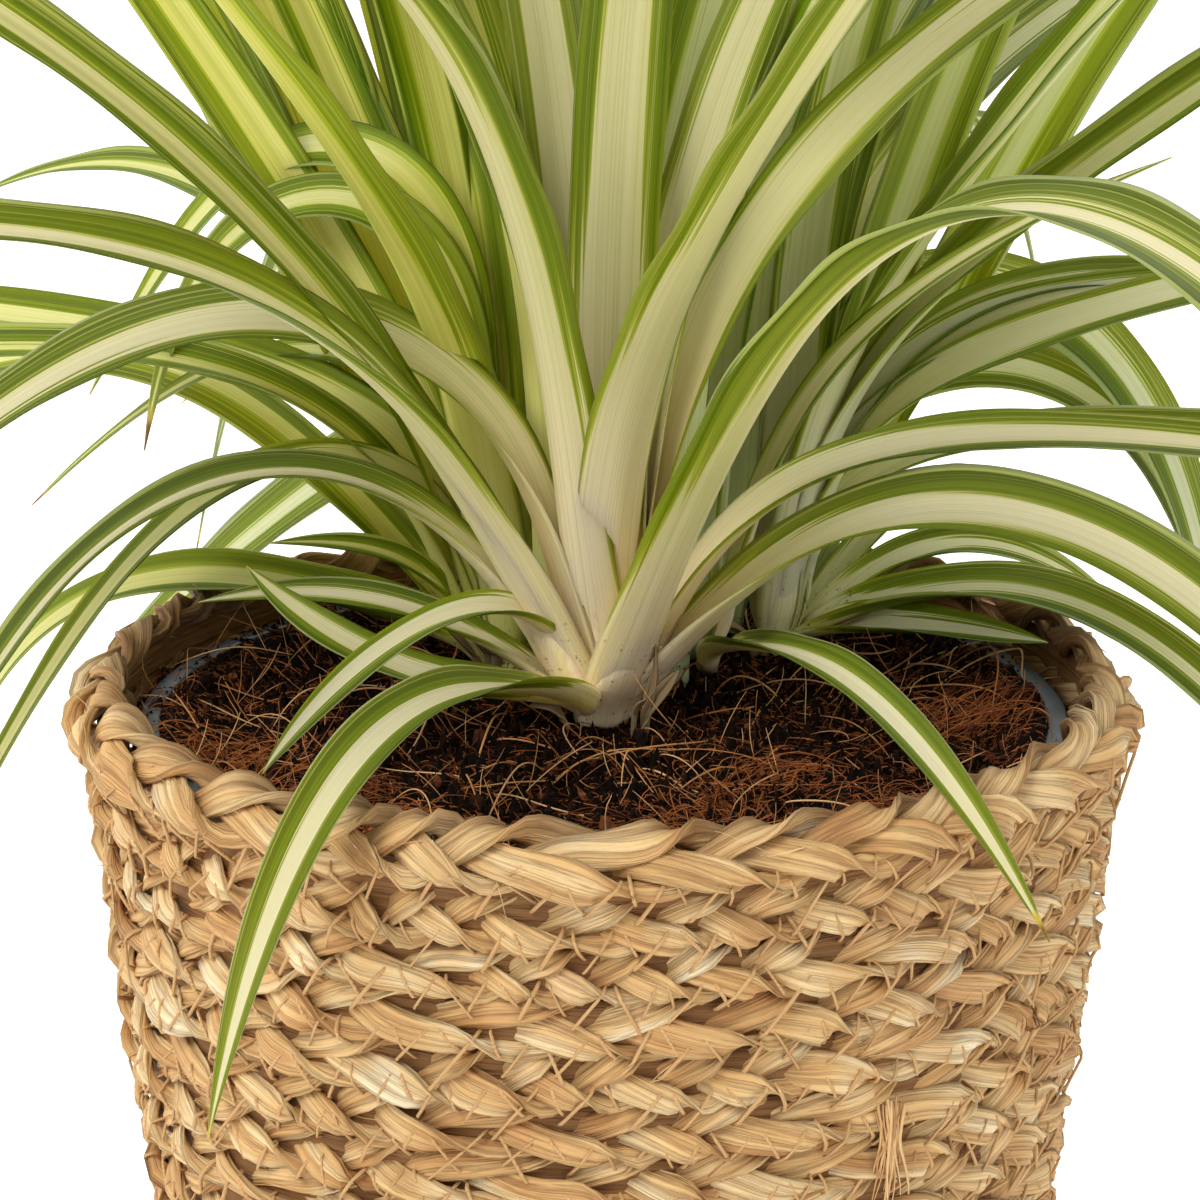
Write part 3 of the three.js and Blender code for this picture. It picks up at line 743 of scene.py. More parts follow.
def grass_ring(radius, height, repeat, lay, scale=1.0, flat=False):
    """One closed ring of three strands, as a part for gathered: points by strand, step and side.

    Along the ring each strand's phase grows by one turn a repeat, a third of a turn after the last
    strand's, and lay gives its place and the lie of its long side. A strand's outline is an ellipse with a
    groove between neighbouring strips of grass.
    """
    repeats = max(2, round(TURN * radius / (repeat * scale)))
    steps = repeats * STEPS_PER_REPEAT
    sides = STRIPS_ROUND_STRAND * POINTS_PER_STRIP
    turn, side = round_turn(steps), arange(sides)

    def waves(count, share):
        return smooth_noise((3, steps), count, share)

    shared = smooth_noise((steps,), max(2, repeats // 2), 0.5)
    sway = smooth_noise((steps,), max(3, repeats // 2), 0.3)
    phase = repeats * turn + TURN * arange(3)[:, None] / 3 + uniform(0, TURN)
    up, out, lie = lay(phase + shared + waves(repeats, 0.2))
    up = (up * scale + sway + waves(repeats, 0.3))[..., None]
    out = (out * scale + waves(repeats, 0.22))[..., None]
    lie = (lie + waves(repeats, 0.2))[..., None]
    half_width = STRAND_HALF_WIDTH * scale * (1 + waves(repeats + 3, 0.14))
    half_thickness = STRAND_HALF_THICKNESS * scale * (1 + waves(repeats + 3, 0.12))
    angle = TURN * side / sides + waves(repeats, 0.35)[..., None]
    strip = side // POINTS_PER_STRIP
    groove = np.where(side % POINTS_PER_STRIP == 0, 1.0, 0.0)
    proud = normal(0, 0.06, (3, 1, STRIPS_ROUND_STRAND))[..., strip]
    outline = 1 + proud - groove * (0.1 + 0.2 * uniform(size=(3, 1, sides)))
    long_side = half_width[..., None] * cos(angle) * outline
    short_side = half_thickness[..., None] * sin(angle) * outline
    up = up + long_side * cos(lie) - short_side * sin(lie)
    out = out + long_side * sin(lie) + short_side * cos(lie)
    if flat:
        up, out = out, up
    up = maximum(up, FLOOR_CLEARANCE - height)

    strip_tone = normal(0, 0.13, (3, STRIPS_ROUND_STRAND))[:, None, strip]
    drift = waves(max(2, repeats // 2), 0.1) + waves(2 * repeats, 0.14)
    tone = 0.5 + normal(0, 0.06, (3, 1, 1)) + strip_tone + drift[..., None]
    sunk = 0 if flat else clip((0.4 - out) / 3.2, 0, 1)
    length = radius * turn[None, :, None] + uniform(0, 500, (3, 1, 1))
    quads = many(ring_quads(steps, sides, closed_along=True), 3, steps * sides)
    return at_compass(radius + out, turn[None, :, None], height + up), [quads], {
        "tone": tone,
        # Painted shade: a little in the grooves between strips, more where the strand sinks into the wall.
        "crevice": clip(groove * 0.3 + 0.8 * sunk, 0, 1),
        "grain": grain_along(round_turn(sides), length, 3 * arange(3)[:, None, None]),
    }


def basket_rows():
    """The wall's rings from foot to rim, no two quite alike, the topmost tilted up and outward."""
    rows = []
    for row in range(ROW_COUNT - 1):
        middle = (row + 0.5) * ROW_PITCH
        scale = 1 + 0.04 * normal()
        repeat = PLAIT_REPEAT * (1 + 0.08 * normal())
        rows.append(grass_ring(basket_radius(middle) - PLAIT_DEPTH_IN_WALL, middle, repeat, woven, scale))
    rim = basket_radius(RIM_MIDDLE) - PLAIT_DEPTH_IN_WALL
    return rows + [grass_ring(rim, RIM_MIDDLE, RIM_REPEAT, tilted, RIM_SCALE)]


def grass_cores(finish):
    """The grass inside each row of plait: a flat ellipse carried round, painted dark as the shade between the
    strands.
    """
    steps, sides = 144, 10
    turn, angle = round_turn(steps)[:, None], round_turn(sides)
    middle = minimum((arange(ROW_COUNT) + 0.5) * ROW_PITCH, BASKET_HEIGHT - 1.7 * CORE_HALF_HEIGHT)
    radius = (basket_radius(middle) - PLAIT_DEPTH_IN_WALL - CORE_INSET)[:, None, None]
    points = at_compass(radius + CORE_HALF_DEPTH * cos(angle), turn,
                        middle[:, None, None] + CORE_HALF_HEIGHT * sin(angle))
    quads = many(ring_quads(steps, sides, closed_along=True), ROW_COUNT, steps * sides)
    # Painted shade: the core is coloured nearly as dark as the deepest grooves.
    return make_mesh("basket_cores", points, [quads], finish, tone=0.25, crevice=0.95,
                     grain=grain_along(angle, 80 * turn))


def wall_height_field(rows):
    """How far out the plait reaches, by compass and height: the farthest point of each small cell."""
    around, up = 1100, 300
    field = np.zeros((around, up))
    for points, *_ in rows:
        x, y, height = points.reshape(-1, 3).T
        compass = (np.arctan2(y, x) / TURN * around).astype(int) % around
        level = clip((height / BASKET_HEIGHT * up).astype(int), 0, up - 1)
        np.maximum.at(field, (compass, level), np.hypot(x, y))
    for shift, axis in ((1, 0), (-1, 0), (1, 1), (-1, 1)):
        field = maximum(field, np.roll(field, shift, axis))
    return field


def on_wall(field, compass, height):
    """The wall's reach at compass angles and heights, read from the nearest cells."""
    around, up = field.shape
    column = np.round(compass / TURN * around).astype(int) % around
    level = clip((height / BASKET_HEIGHT * up).astype(int), 0, up - 1)
    return field[column, level]


def stitching(field, finish):
    """Two legs of twine for each stitch, from a hole in the middle of one row to holes in the row below.

    A leg is a straight line in compass and height, pulled taut over the plait: its reach outward is the
    lowest curve that bends only inward and clears the grass. It dives into the grass at both ends. One leg
    in ten is half as long again.
    """
    steps, sides = 10, 5
    legs = []
    for row in range(1, ROW_COUNT):
        middle = (row + 0.5) * ROW_PITCH
        radius = basket_radius(middle)
        count = round(TURN * radius / STITCH_PITCH)
        apex = (arange(count) + uniform(0, 1) + normal(0, 0.1, count)) * STITCH_PITCH / radius
        top = middle - 0.8 + normal(0, 0.6, count)
        for gap, run, drop, spread in ((-0.5, -4.9, 1.0, 1.1), (0.7, 2.8, 0.74, 0.8)):
            stretch = np.where(uniform(size=count) < 0.1, 1.5, 1.0) * (row > 2) + (row <= 2)
            lean = (run + normal(0, spread, count)) * stretch
            low = top - STITCH_HEIGHT * drop * stretch + normal(0, 0.5, count)
            start = stack([apex + gap / radius, top], -1)
            end = stack([apex + (gap + lean) / radius, maximum(low, 1)], -1)
            legs.append(stack([start, end], 1))
    legs = concatenate(legs)
    share = linspace(0, 1, steps)[None, :, None]
    line = legs[:, :1] * (1 - share) + legs[:, 1:] * share
    compass, height = line[..., 0], line[..., 1]
    clear = maximum(on_wall(field, compass, height), basket_radius(height) - PLAIT_DEPTH_IN_WALL)
    reach = clear.copy()
    for _ in range(40):
        reach[:, 1:-1] = maximum(clear[:, 1:-1], (reach[:, :-2] + reach[:, 2:]) / 2)
    ends = np.abs(2 * share[0, :, 0] - 1) ** 12
    paths = at_compass(reach - 0.12 - 1.3 * ends, compass, height)
    radii = TWINE_RADIUS * uniform(0.8, 1.25, (len(paths), 1))
    length = linspace(0, 6, steps)[None, :, None] + uniform(0, 90, (len(paths), 1, 1))
    grain = grain_along(round_turn(sides), length)
    return tube_piece("basket_stitching", paths, radii, sides, finish, grain=grain)


def frayed_fibres(field, finish):
    """Loose wisps on the wall and rim: each leaves the grass along the row and curls away from it."""
    count, steps = 260, 8
    compass = uniform(0, TURN, count)
    height = np.where(uniform(size=count) < 0.3, BASKET_HEIGHT - uniform(0.5, 5, count),
                      uniform(4, BASKET_HEIGHT - 4, count))
    length = gamma(3, 1.7, count)[:, None]
    heading = normal(0, 0.5, count)[:, None] + np.where(uniform(size=(count, 1)) < 0.5, 0, math.pi)
    share = linspace(0, 1, steps)[None]
    reach = on_wall(field, compass, height)
    sideways = length * share * cos(heading)
    climb = length * share * sin(heading) + normal(0, 1, (count, 1)) * share ** 2
    lift = uniform(0.1, 0.34, (count, 1)) * length * share ** 1.6
    radius = reach[:, None] - 0.3 + minimum(lift, 2.4)
    angle = compass[:, None] + sideways / reach[:, None]
    level = minimum(height[:, None] + climb, BASKET_HEIGHT + 2)
    radii = uniform(0.06, 0.16, (count, 1)) * (1 - 0.7 * share)
    return tube_piece("basket_frays", at_compass(radius, angle, level), radii, 3, finish,
                      tone=uniform(0.2, 1, (count, 1, 1)))


def loose_end(field, finish):
    """A frayed end of grass on the wall: a bundle of wavy fibres, drawn together at 0.4 of its length.

    Sideways a fibre lies at fan * (0.9 + 1.4 * |s - 0.4|) + 0.5 * sin(5s + start) at the share s of its
    length, and it hangs clear of the plait along all of it.
    """
    count, steps = 44, 12
    share = linspace(0, 1, steps)[None]
    fan = normal(0, 0.9, (count, 1))
    wave = 0.5 * sin(5 * share + uniform(0, TURN, (count, 1)))
    angle = LOOSE_END_COMPASS + (fan * (0.9 + 1.4 * np.abs(share - 0.4)) + wave) / RIM_RADIUS
    start = LOOSE_END_TOP + normal(0, 1.2, (count, 1))
    level = start - uniform(6, 17, (count, 1)) * share
    clear = on_wall(field, angle % TURN, level).max(1, keepdims=True)
    radius = clear - 0.3 + 0.7 * uniform(0, 1, (count, 1)) + 0.5 * sin(math.pi * share)
    radii = uniform(0.14, 0.34, (count, 1)) * (1 - 0.6 * share ** 2)
    return tube_piece("basket_loose_end", at_compass(radius, angle, level), radii, 4, finish,
                      tone=uniform(0, 0.65, (count, 1, 1)))


def basket_underside():
    """The floor: rings of the same plait laid flat, one inside the next."""
    rings = []
    radius = basket_radius(0) - 9
    while radius > 4:
        rings.append(grass_ring(radius, 3.6, PLAIT_REPEAT, laid_flat, 0.9, flat=True))
        radius -= ROW_PITCH * 0.95
    return rings


# ---------------------------------------------------------------- nursery pot

def turned(name, profile, sides, finish, at=(0, 0)):
    """A closed shape of revolution: profile points [radius, height] carried round Z, the end ones poles."""
    profile = np.array(profile, float)
    radius, height = profile[1:-1, :1], profile[1:-1, 1:]
    rings = at_compass(radius, round_turn(sides), height) + [*at, 0]
    points = concatenate([rings.reshape(-1, 3), [[*at, profile[0, 1]], [*at, profile[-1, 1]]]])
    return make_mesh(name, points, with_poles(len(radius), sides), finish)


def rounded(corner_points, radius=0.5, steps=4):
    """A profile with its corners rounded: each becomes a quadratic arc between points near it."""
    points = [corner_points[0]]
    for corner_and_neighbours in zip(corner_points, corner_points[1:], corner_points[2:]):
        before, corner, after = map(np.array, corner_and_neighbours)
        start, end = (corner + way / np.linalg.norm(way) * min(radius, 0.45 * np.linalg.norm(way))
                      for way in (before - corner, after - corner))
        for share in linspace(0, 1, steps):
            points.append((1 - share) ** 2 * start + 2 * share * (1 - share) * corner + share ** 2 * end)
    return points + [corner_points[-1]]


def nursery_pot(finish):
    """A thin tapered shell with a rolled lip, cut by a circle of drain holes."""
    lip_bottom = POT_TOP - POT_LIP_DEPTH
    pot = turned("pot_shell", rounded([
        (0, POT_BOTTOM),
        (POT_BASE_RADIUS, POT_BOTTOM),
        (POT_TOP_RADIUS, lip_bottom),
        (POT_LIP_RADIUS, lip_bottom + 1),
        (POT_LIP_RADIUS, POT_TOP),
        (POT_MOUTH, POT_TOP),
        (POT_MOUTH, lip_bottom),
        (POT_BASE_RADIUS - POT_WALL, POT_BOTTOM + POT_WALL),
        (0, POT_BOTTOM + POT_WALL),
    ]), 144, finish)
    for hole in range(DRAIN_HOLES):
        angle = TURN * hole / DRAIN_HOLES
        at = (DRAIN_CIRCLE * math.cos(angle), DRAIN_CIRCLE * math.sin(angle))
        drill = turned("drill", [(0, POT_BOTTOM - 2), (DRAIN_RADIUS, POT_BOTTOM - 2),
                                 (DRAIN_RADIUS, POT_BOTTOM + 4), (0, POT_BOTTOM + 4)], 24, finish, at)
        cut = pot.modifiers.new("drain", "BOOLEAN")
        cut.operation = "DIFFERENCE"
        cut.solver = "EXACT"
        cut.object = drill
        apply_modifiers(pot)
        bpy.data.objects.remove(drill)
    return pot


# ---------------------------------------------------------------- potting mix

def pot_inside(height):
    """Inner radius of the pot's tapered wall at a height."""
    floor = POT_BOTTOM + POT_WALL
    climb = clip((height - floor) / (POT_TOP - POT_LIP_DEPTH - floor), 0, 1)
    return POT_BASE_RADIUS + (POT_TOP_RADIUS - POT_BASE_RADIUS) * climb - POT_WALL


def soil_height(radius, angle):
    """Level round the crowns, lower by a square towards the pot, with lumps: sines of radius and angle."""
    fall = clip((radius - SOIL_FLAT_RADIUS) / (POT_TOP_RADIUS - SOIL_FLAT_RADIUS), 0, 1)
    lumps = sin(radius / 5 + 2 * cos(2 * angle)) * sin(3 * angle)
    return SOIL_TOP - SOIL_LUMP - SOIL_DROP * fall ** 2 + SOIL_LUMP * lumps * clip(radius / 20, 0, 1)


SOIL_WAVES = [(uniform(0.12, 1.3), *uniform(0, TURN, 2)) for _ in range(70)]


def crumbly(x, y):
    """Rough ground: plane waves of random direction and phase, finer ones lower, folded to sharp crests."""
    total = np.zeros_like(x)
    for rate, heading, phase in SOIL_WAVES:
        wave = sin(rate * (x * math.cos(heading) + y * math.sin(heading)) * 3 + phase)
        total += (1 - np.abs(wave) * 2) * SOIL_ROUGHNESS / (0.35 + rate)
    return total


def covered(angle):
    """How far the mix is spilled over the pot's lip, up to 1, by compass: less along two bare stretches."""
    bare = 0
    for heading, width in BARE_LIP:
        away = np.angle(exp(1j * (angle - math.radians(heading)))) / math.radians(width)
        bare = bare + exp(-away ** 4)
    return clip(1 - bare, 0.24, 1)


def soil_edge(angle):
    """How far out the mix reaches: to the pot's wall, or over its lip, with soft waves along it."""
    waves = 1.2 * sin(9 * angle + 1) + 0.8 * sin(23 * angle)
    return POT_MOUTH - 0.7 + covered(angle) * (SPILL_REACH + waves - 2)


def soil_top(x, y):
    """Height of the finished ground: the smooth mound, a bank that climbs over the lip, and the crumbs."""
    radius = np.hypot(x, y)
    angle = np.arctan2(y, x)
    climb = clip((radius - 60) / 10, 0, 1)
    bank = SPILL_RISE * eased(climb) - 0.35 * maximum(radius - POT_LIP_RADIUS, 0)
    mound = soil_height(minimum(radius, POT_TOP_RADIUS), angle)
    return mound + minimum(4 * covered(angle), 1) * bank + crumbly(x, y) * (1 - 0.5 * climb)


def soil_mound(finish):
    """One closed body: a fine ground of rings by compass, a straight side along the pot, a flat bottom."""
    rings, sides = 150, 420
    angle = round_turn(sides)
    radius = (POT_MOUTH - 0.45) * linspace(1, 0, rings + 1)[:-1, None] ** 0.85
    x, y = radius * cos(angle), radius * sin(angle)
    levels = np.array([[POT_BOTTOM + POT_WALL + 0.4], [60], [110]])
    side = at_compass(pot_inside(levels) - 0.5, angle, levels)
    grid = concatenate([side, stack([x, y, soil_top(x, y)], -1)]).reshape(-1, 3)
    middle = soil_top(np.zeros(1), np.zeros(1))[0]
    points = concatenate([grid, [[0, 0, levels[0, 0]], [0, 0, middle]]])
    polygons = with_poles(rings + len(levels), sides)
    return make_mesh("soil_mound", points, polygons, finish, crest=crest(points))


def crest(points):
    """0 in the hollows of the ground and 1 on its crests, for the mix's painted shade and light."""
    return clip(0.5 + crumbly(points[..., 0], points[..., 1]) / 4, 0, 1)


def spilled_mix(finish):
    """Mix that lies on the pot's lip and in the gap to the basket: a thin closed band carried round.

    Its top is the ground's height from inside the lip out to soil_edge, and its underside lies on the lip.
    """
    across, sides = 26, 720
    angle = round_turn(sides)[:, None]
    share = linspace(0, 1, across)
    inner = POT_MOUTH - 2.2
    radius = inner + (soil_edge(angle) - inner) * share
    x, y = radius * cos(angle), radius * sin(angle)
    ends = 1 - (2 * share - 1) ** 8
    sunk = 0.4 * clip((POT_MOUTH - radius) / 1.2, 0, 1)
    top = soil_top(x, y) - sunk
    under = minimum(top - 0.3, POT_TOP - 0.6)
    upper = stack([x, y, under + (top - under) * ends], -1)
    lower = stack([x, y, under - 0.6 * ends], -1)[:, -2:0:-1]
    points = concatenate([upper, lower], 1)
    quads = ring_quads(*points.shape[:2], closed_along=True)[:, ::-1]
    return make_mesh("spilled_mix", points, [quads], finish, crest=crest(points))


def scatter(count, edge=0.0):
    """Places on the ground, even over its area, edge millimetres in from where the mix ends."""
    angle = uniform(0, TURN, count)
    radius = np.sqrt(uniform(0, 1, count)) * (soil_edge(angle) - edge)
    return radius * cos(angle), radius * sin(angle)


def fibre_piece(name, paths, thickness, sides, finish, tones=(0, 1)):
    """Fibres along paths, each with its own thickness and tone, thinner to both ends."""
    count, steps = paths.shape[:2]
    share = linspace(0, 1, steps)[None]
    radii = uniform(*thickness, (count, 1)) * (1 - 0.6 * np.abs(2 * share - 1) ** 2)
    return tube_piece(name, paths, radii, sides, finish, tone=uniform(*tones, (count, 1, 1)))


def on_ground(x, y):
    """x and y drawn in to where the mix ends, and a height that follows the ground's broad shape."""
    angle = np.arctan2(y, x)
    inward = minimum(1, (soil_edge(angle) - 0.8) / maximum(np.hypot(x, y), 1e-6))
    x, y = x * inward, y * inward
    height = soil_top(x, y)
    for _ in range(height.shape[1]):
        height[:, 1:-1] = (height[:, :-2] + 2 * height[:, 1:-1] + height[:, 2:]) / 4
    return x, y, height


def ground_fibres(name, count, lengths, thickness, curl, lift, steps, sides, finish,
                  places=None, headings=None, tones=(0, 1)):
    """Fibres that lie on the ground: the heading of each bends as it goes, and it rises and dips again.

    Heading is the start plus curl times a straight and a soft wave. Height over the ground is
    lift * sin(pi * share), so both ends are tucked in.
    """
    x, y = places if places is not None else scatter(count, 1)
    share = linspace(0, 1, steps)[None]
    length = uniform(*lengths, (count, 1))
    heading = (uniform(0, TURN, count) if headings is None else headings)[:, None]
    bend = normal(0, curl, (count, 1)) * (share - 0.5) + normal(0, curl * 0.4, (count, 1)) * sin(
        uniform(2, 6, (count, 1)) * share + uniform(0, TURN, (count, 1)))
    step = length / (steps - 1)
    x = x[:, None] + np.cumsum(step * cos(heading + bend), 1) - length / 2 * cos(heading)
    y = y[:, None] + np.cumsum(step * sin(heading + bend), 1) - length / 2 * sin(heading)
    x, y, ground = on_ground(x, y)
    rise = uniform(0, 1, (count, 1)) ** 1.5 * lift
    height = ground - 0.2 + rise * sin(math.pi * share ** uniform(0.6, 1.6, (count, 1)))
    return fibre_piece(name, stack([x, y, height], -1), thickness, sides, finish, tones)


def tufts(name, centres, count, lengths, thickness, finish, tones):
    """Bundles of fibres, combed one way and heaped: [x, y, heading in degrees, spread in mm] each."""
    centre = np.repeat(np.array(centres, float), count, 0)
    total = len(centre)
    x = centre[:, 0] + centre[:, 3] * normal(0, 0.5, total)
    y = centre[:, 1] + centre[:, 3] * normal(0, 0.3, total)
    heading = np.radians(centre[:, 2]) + normal(0, 0.45, total)
    return ground_fibres(name, total, lengths, thickness, 1.5, 4.5, 11, 3, finish, (x, y), heading, tones)


def bristles(name, count, lengths, thickness, finish):
    """Fibres that stand out of the ground: straight up their own tilt, then bent over a little."""
    steps = 7
    x, y = scatter(count, 2)
    share = linspace(0, 1, steps)[None]
    length = uniform(*lengths, (count, 1))
    tilt = np.radians(uniform(35, 80, (count, 1))) + normal(0, 0.5, (count, 1)) * share
    heading = uniform(0, TURN, (count, 1)) + normal(0, 0.5, (count, 1)) * share
    step = length / (steps - 1)
    x = x[:, None] + np.cumsum(step * sin(tilt) * cos(heading), 1)
    y = y[:, None] + np.cumsum(step * sin(tilt) * sin(heading), 1)
    limit = minimum(1, (POT_MOUTH + 6) / maximum(np.hypot(x, y), 1e-6))
    height = soil_top(x[:, :1], y[:, :1]) - 0.8 + np.cumsum(step * cos(tilt), 1)
    return fibre_piece(name, stack([x * limit, y * limit, height], -1), thickness, 3, finish)


def crumbs(name, count, finish):
    """Small broken lumps: a ball of 3 rings of 6 with every point pushed in or out, half sunk."""
    sides, rings = 6, 3
    x, y = scatter(count, 0.5)
    polar = math.pi * (arange(rings)[:, None] + 1) / (rings + 1)
    ball = at_compass(sin(polar), round_turn(sides), cos(polar)).reshape(-1, 3)
    ball = concatenate([ball, [[0, 0, 1], [0, 0, -1]]])
    size = gamma(3, 0.14, (count, 1, 1)) + 0.2
    squash = uniform(0.4, 1.4, (count, 1, 3))
    lump = ball * squash * size * uniform(0.55, 1.35, (count, len(ball), 1))
    turn = uniform(0, TURN, (count, 1))
    turned_x = lump[..., 0] * cos(turn) - lump[..., 1] * sin(turn)
    turned_y = lump[..., 0] * sin(turn) + lump[..., 1] * cos(turn)
    ground = soil_top(x, y)[:, None] + 0.25 * size[..., 0]
    points = stack([x[:, None] + turned_x, y[:, None] + turned_y, ground + lump[..., 2]], -1)
    side, pole = arange(sides), rings * sides
    polygons = [ring_quads(rings, sides)[:, ::-1], fan(pole, side), fan(pole + 1, pole - sides + side, True)]
    return make_mesh(name, points, [many(polygon, count, len(ball)) for polygon in polygons], finish,
                     smooth=False, tone=uniform(0, 1, (count, 1)) ** 1.5)


# ---------------------------------------------------------------- leaves

def in_full(leaf):
    """A leaf's numbers with the sweep and the sharpness that it leaves out: straight, and a smooth arch."""
    return (*leaf, *(0, 3)[len(leaf) - 6:])


def leaf_path(at, root_ring, leaf, steps):
    """The midrib: short steps in the direction of its tilt and compass, summed from the root.

    Tilt is lean + bend * t^k / (t^k + turn^k) and compass is heading + sweep * t, at the share t of the
    length. The foot dives into the mix by a depth times exp(-distance / 5). Leaves nest round the crown:
    the more a leaf leans, the farther out its foot stands, which fades with exp(-(distance / 22)^2). The
    blade turns to the light by a roll about the midrib that goes with the cosine of its compass.
    """
    heading, lean, bend, turn, length, _, sweep, sharpness = in_full(leaf)
    t = linspace(0, 1, steps)
    tilt = np.radians(lean + bend * t ** sharpness / (t ** sharpness + turn ** sharpness))
    compass = np.radians(heading + sweep * t)
    ahead = at_compass(sin(tilt), compass, cos(tilt))
    start = math.radians(heading)
    root = np.array([at[0] + root_ring * math.cos(start), at[1] + root_ring * math.sin(start),
                     ROOT_HEIGHT + ROOT_CLIMB * lean / 90])
    middle = (ahead[1:] + ahead[:-1]) / 2 * length / (steps - 1)
    path = root + concatenate([np.zeros((1, 3)), np.cumsum(middle, 0)])
    path[:, 2] -= (FOOT_DIVE + STEEP_FOOT_DIVE * lean / 90) * exp(-t * length / 5)
    nest = NEST_INNER + (NEST_OUTER - NEST_INNER) * min(lean / 30, 1)
    inward = (nest - 1) * root_ring * exp(-(t * length / NEST_REACH) ** 2)
    path[:, 0] += inward * math.cos(start)
    path[:, 1] += inward * math.sin(start)
    level = stack([-sin(compass), cos(compass), 0 * t], -1)
    roll = math.radians(LIGHT_TURN) * (cos(compass) * clip(t / UNFOLDED_BY, 0, 1))[:, None]
    side = level * cos(roll) + np.cross(ahead, level) * sin(roll)
    upper = np.cross(ahead, side)
    return t, path, side, upper, tilt


def drawn_in(points, at):
    """Points near a crown's axis moved towards it at the soil, so that the clump of feet is rounded below.

    The distance from the axis shrinks by a share that goes with the square of the depth below a level, and
    with exp(-(distance / 12)^2).
    """
    offset = points[..., :2] - np.array(at)
    far = np.sum(offset ** 2, -1, keepdims=True)
    depth = clip((DRAWN_IN_BELOW - points[..., 2:]) / (DRAWN_IN_BELOW - ROOT_HEIGHT - 2), 0, 1)
    inner = np.array(at) + offset * (1 - DRAWN_IN * depth ** 2 * exp(-far / 144))
    return concatenate([inner, points[..., 2:]], -1)


def blade(at, root_ring, leaf, pale=1.0, lime_and_light=0, twist=0, back=0, clasping=1):
    """One leaf: a trough-shaped section carried along the midrib, closed all round.

    Across the blade the surface climbs from the midrib at an angle that grows to the fold, so the trough is
    rounded; at the foot it is an arc that clasps the leaves inside it. Half width is width / 2 * (1 - t^4),
    narrower at the foot. The margins ripple a little, and the whole blade rolls a few degrees to and fro
    and turns by its twist. It stands back from the camera by back * (1 - exp(-(distance / 50)^4)). Both
    faces share one grid: the upper face from left to right, then the lower face back.
    """
    lean, length, width = leaf[1], leaf[4], leaf[5]
    t, path, side, upper, tilt = leaf_path(at, root_ring, leaf, int(34 + length / 4))
    path = path + (back * (1 - exp(-(t * length / BACK_FROM) ** 4)))[:, None] * AWAY_FROM_CAMERA
    narrow = FOOT_WIDTH + (1 - FOOT_WIDTH) * clip(t / FULL_WIDTH_BY, 0, 1)
    half = width / 2 * (1 - t ** TIP_POWER) * narrow
    near_foot = exp(-(t * length / CLASP_REACH) ** 2)[:, None]
    t, tilt = t[:, None], tilt[:, None]
    half = maximum(half[:, None] * (1 + FOOT_FLARE * near_foot), 0.12)
    v = linspace(-1, 1, BLADE_COLUMNS)
    fold = np.radians(np.interp(t, (0, UNFOLDED_BY, 1), (FOOT_FOLD, MIDDLE_FOLD, TIP_FOLD)))
    roundness = 0.3 - 0.18 * clip(t / 0.5, 0, 1)
    clasp = clasping * near_foot
    slope = fold * np.tanh(v / roundness) * (1 - clasp) + math.radians(CLASP_FOLD) * v * clasp
    seed = uniform(0, 1)
    across, climb = (np.cumsum(part, 1) * 2 / (BLADE_COLUMNS - 1) * half
                     for part in (cos(slope), sin(slope)))
    middle = BLADE_COLUMNS // 2
    across, climb = across - across[:, [middle]], climb - climb[:, [middle]]
    ripple = sin(length / 17 * t * 3 + 20 * seed + 1.4 * np.sign(v)) * np.abs(v) ** 3
    climb = climb + RIPPLE * half * ripple * clip(4 * t, 0, 1)
    sway = BLADE_SWAY * sin(5 * t + TURN * seed) * clip(3 * t, 0, 1)
    roll = sway + math.radians(twist) * clip(4 * t, 0, 1)
    turned_across = across * cos(roll) - climb * sin(roll)
    turned_climb = across * sin(roll) + climb * cos(roll)
    thick = BLADE_HALF_THICKNESS * (1.9 - 1.2 * np.abs(v)) * clip(1.5 - t, 0.5, 1)
    thick = minimum(thick, 0.6 * half)

    def face(sign, kept):
        a = (turned_across - sign * thick * sin(slope))[:, kept, None]
        c = (turned_climb + sign * thick * cos(slope))[:, kept, None]
        return path[:, None] + a * side[:, None] + c * upper[:, None]

    lower = arange(BLADE_COLUMNS - 2, 0, -1)
    points = drawn_in(concatenate([face(1, arange(BLADE_COLUMNS)), face(-1, lower)], 1), at)
    distance = t * length
    reach = (PALE_REACH - PALE_REACH_LOST * min(lean / 60, 1)) * (0.4 + 0.6 * pale)
    reach = min(reach, 0.3 * length)
    stripe = uniform(*STRIPE_WIDTHS)
    arch = clip((np.degrees(tilt) - ARCHED_FROM) / ARCHED_OVER, 0, 1)
    dry_from = 1 - gamma(1.5, 0.012)
    rings, sides = points.shape[:2]
    return points, [ring_quads(rings, sides), end_faces(rings, sides)], {
        "across": concatenate([v, v[lower]]),
        "along": distance,
        "seed": seed,
        "stripe": stripe + (FOOT_STRIPE - stripe) * exp(-(distance / reach) ** 1.6),
        "ripe": clip(distance / reach, 0, 1),
        # Upright greens, partly painted backlight, mixed with arching greens by tilt and crown.
        "shade": clip(0.36 * pale + arch * (1 - 0.35 * lime_and_light) + 0.1 * normal(), 0, 1),
        # Greenish foot and painted cool shade, both stronger on crowns with less pale feet.
        "cool": 1 - pale,
        # Yellow-green tint, partly painted light from the left, less on arching leaves.
        "lime_and_light": lime_and_light * (1 - 0.3 * arch),
        "dry": clip((t - dry_from) / 0.03, 0, 1),
    }


def hearts(finish):
    """The upright leaves in the heart of the clump, which close the gaps between the crowns."""
    # The hearts on the left take the yellow-green tint, partly painted light from the left.
    blades = [blade(at, 2, leaf, 0.25, 0.7 * (at[0] < 0), twist) for at, leaf, twist in HEARTS]
    return gathered("leaves_of_hearts", blades, finish)


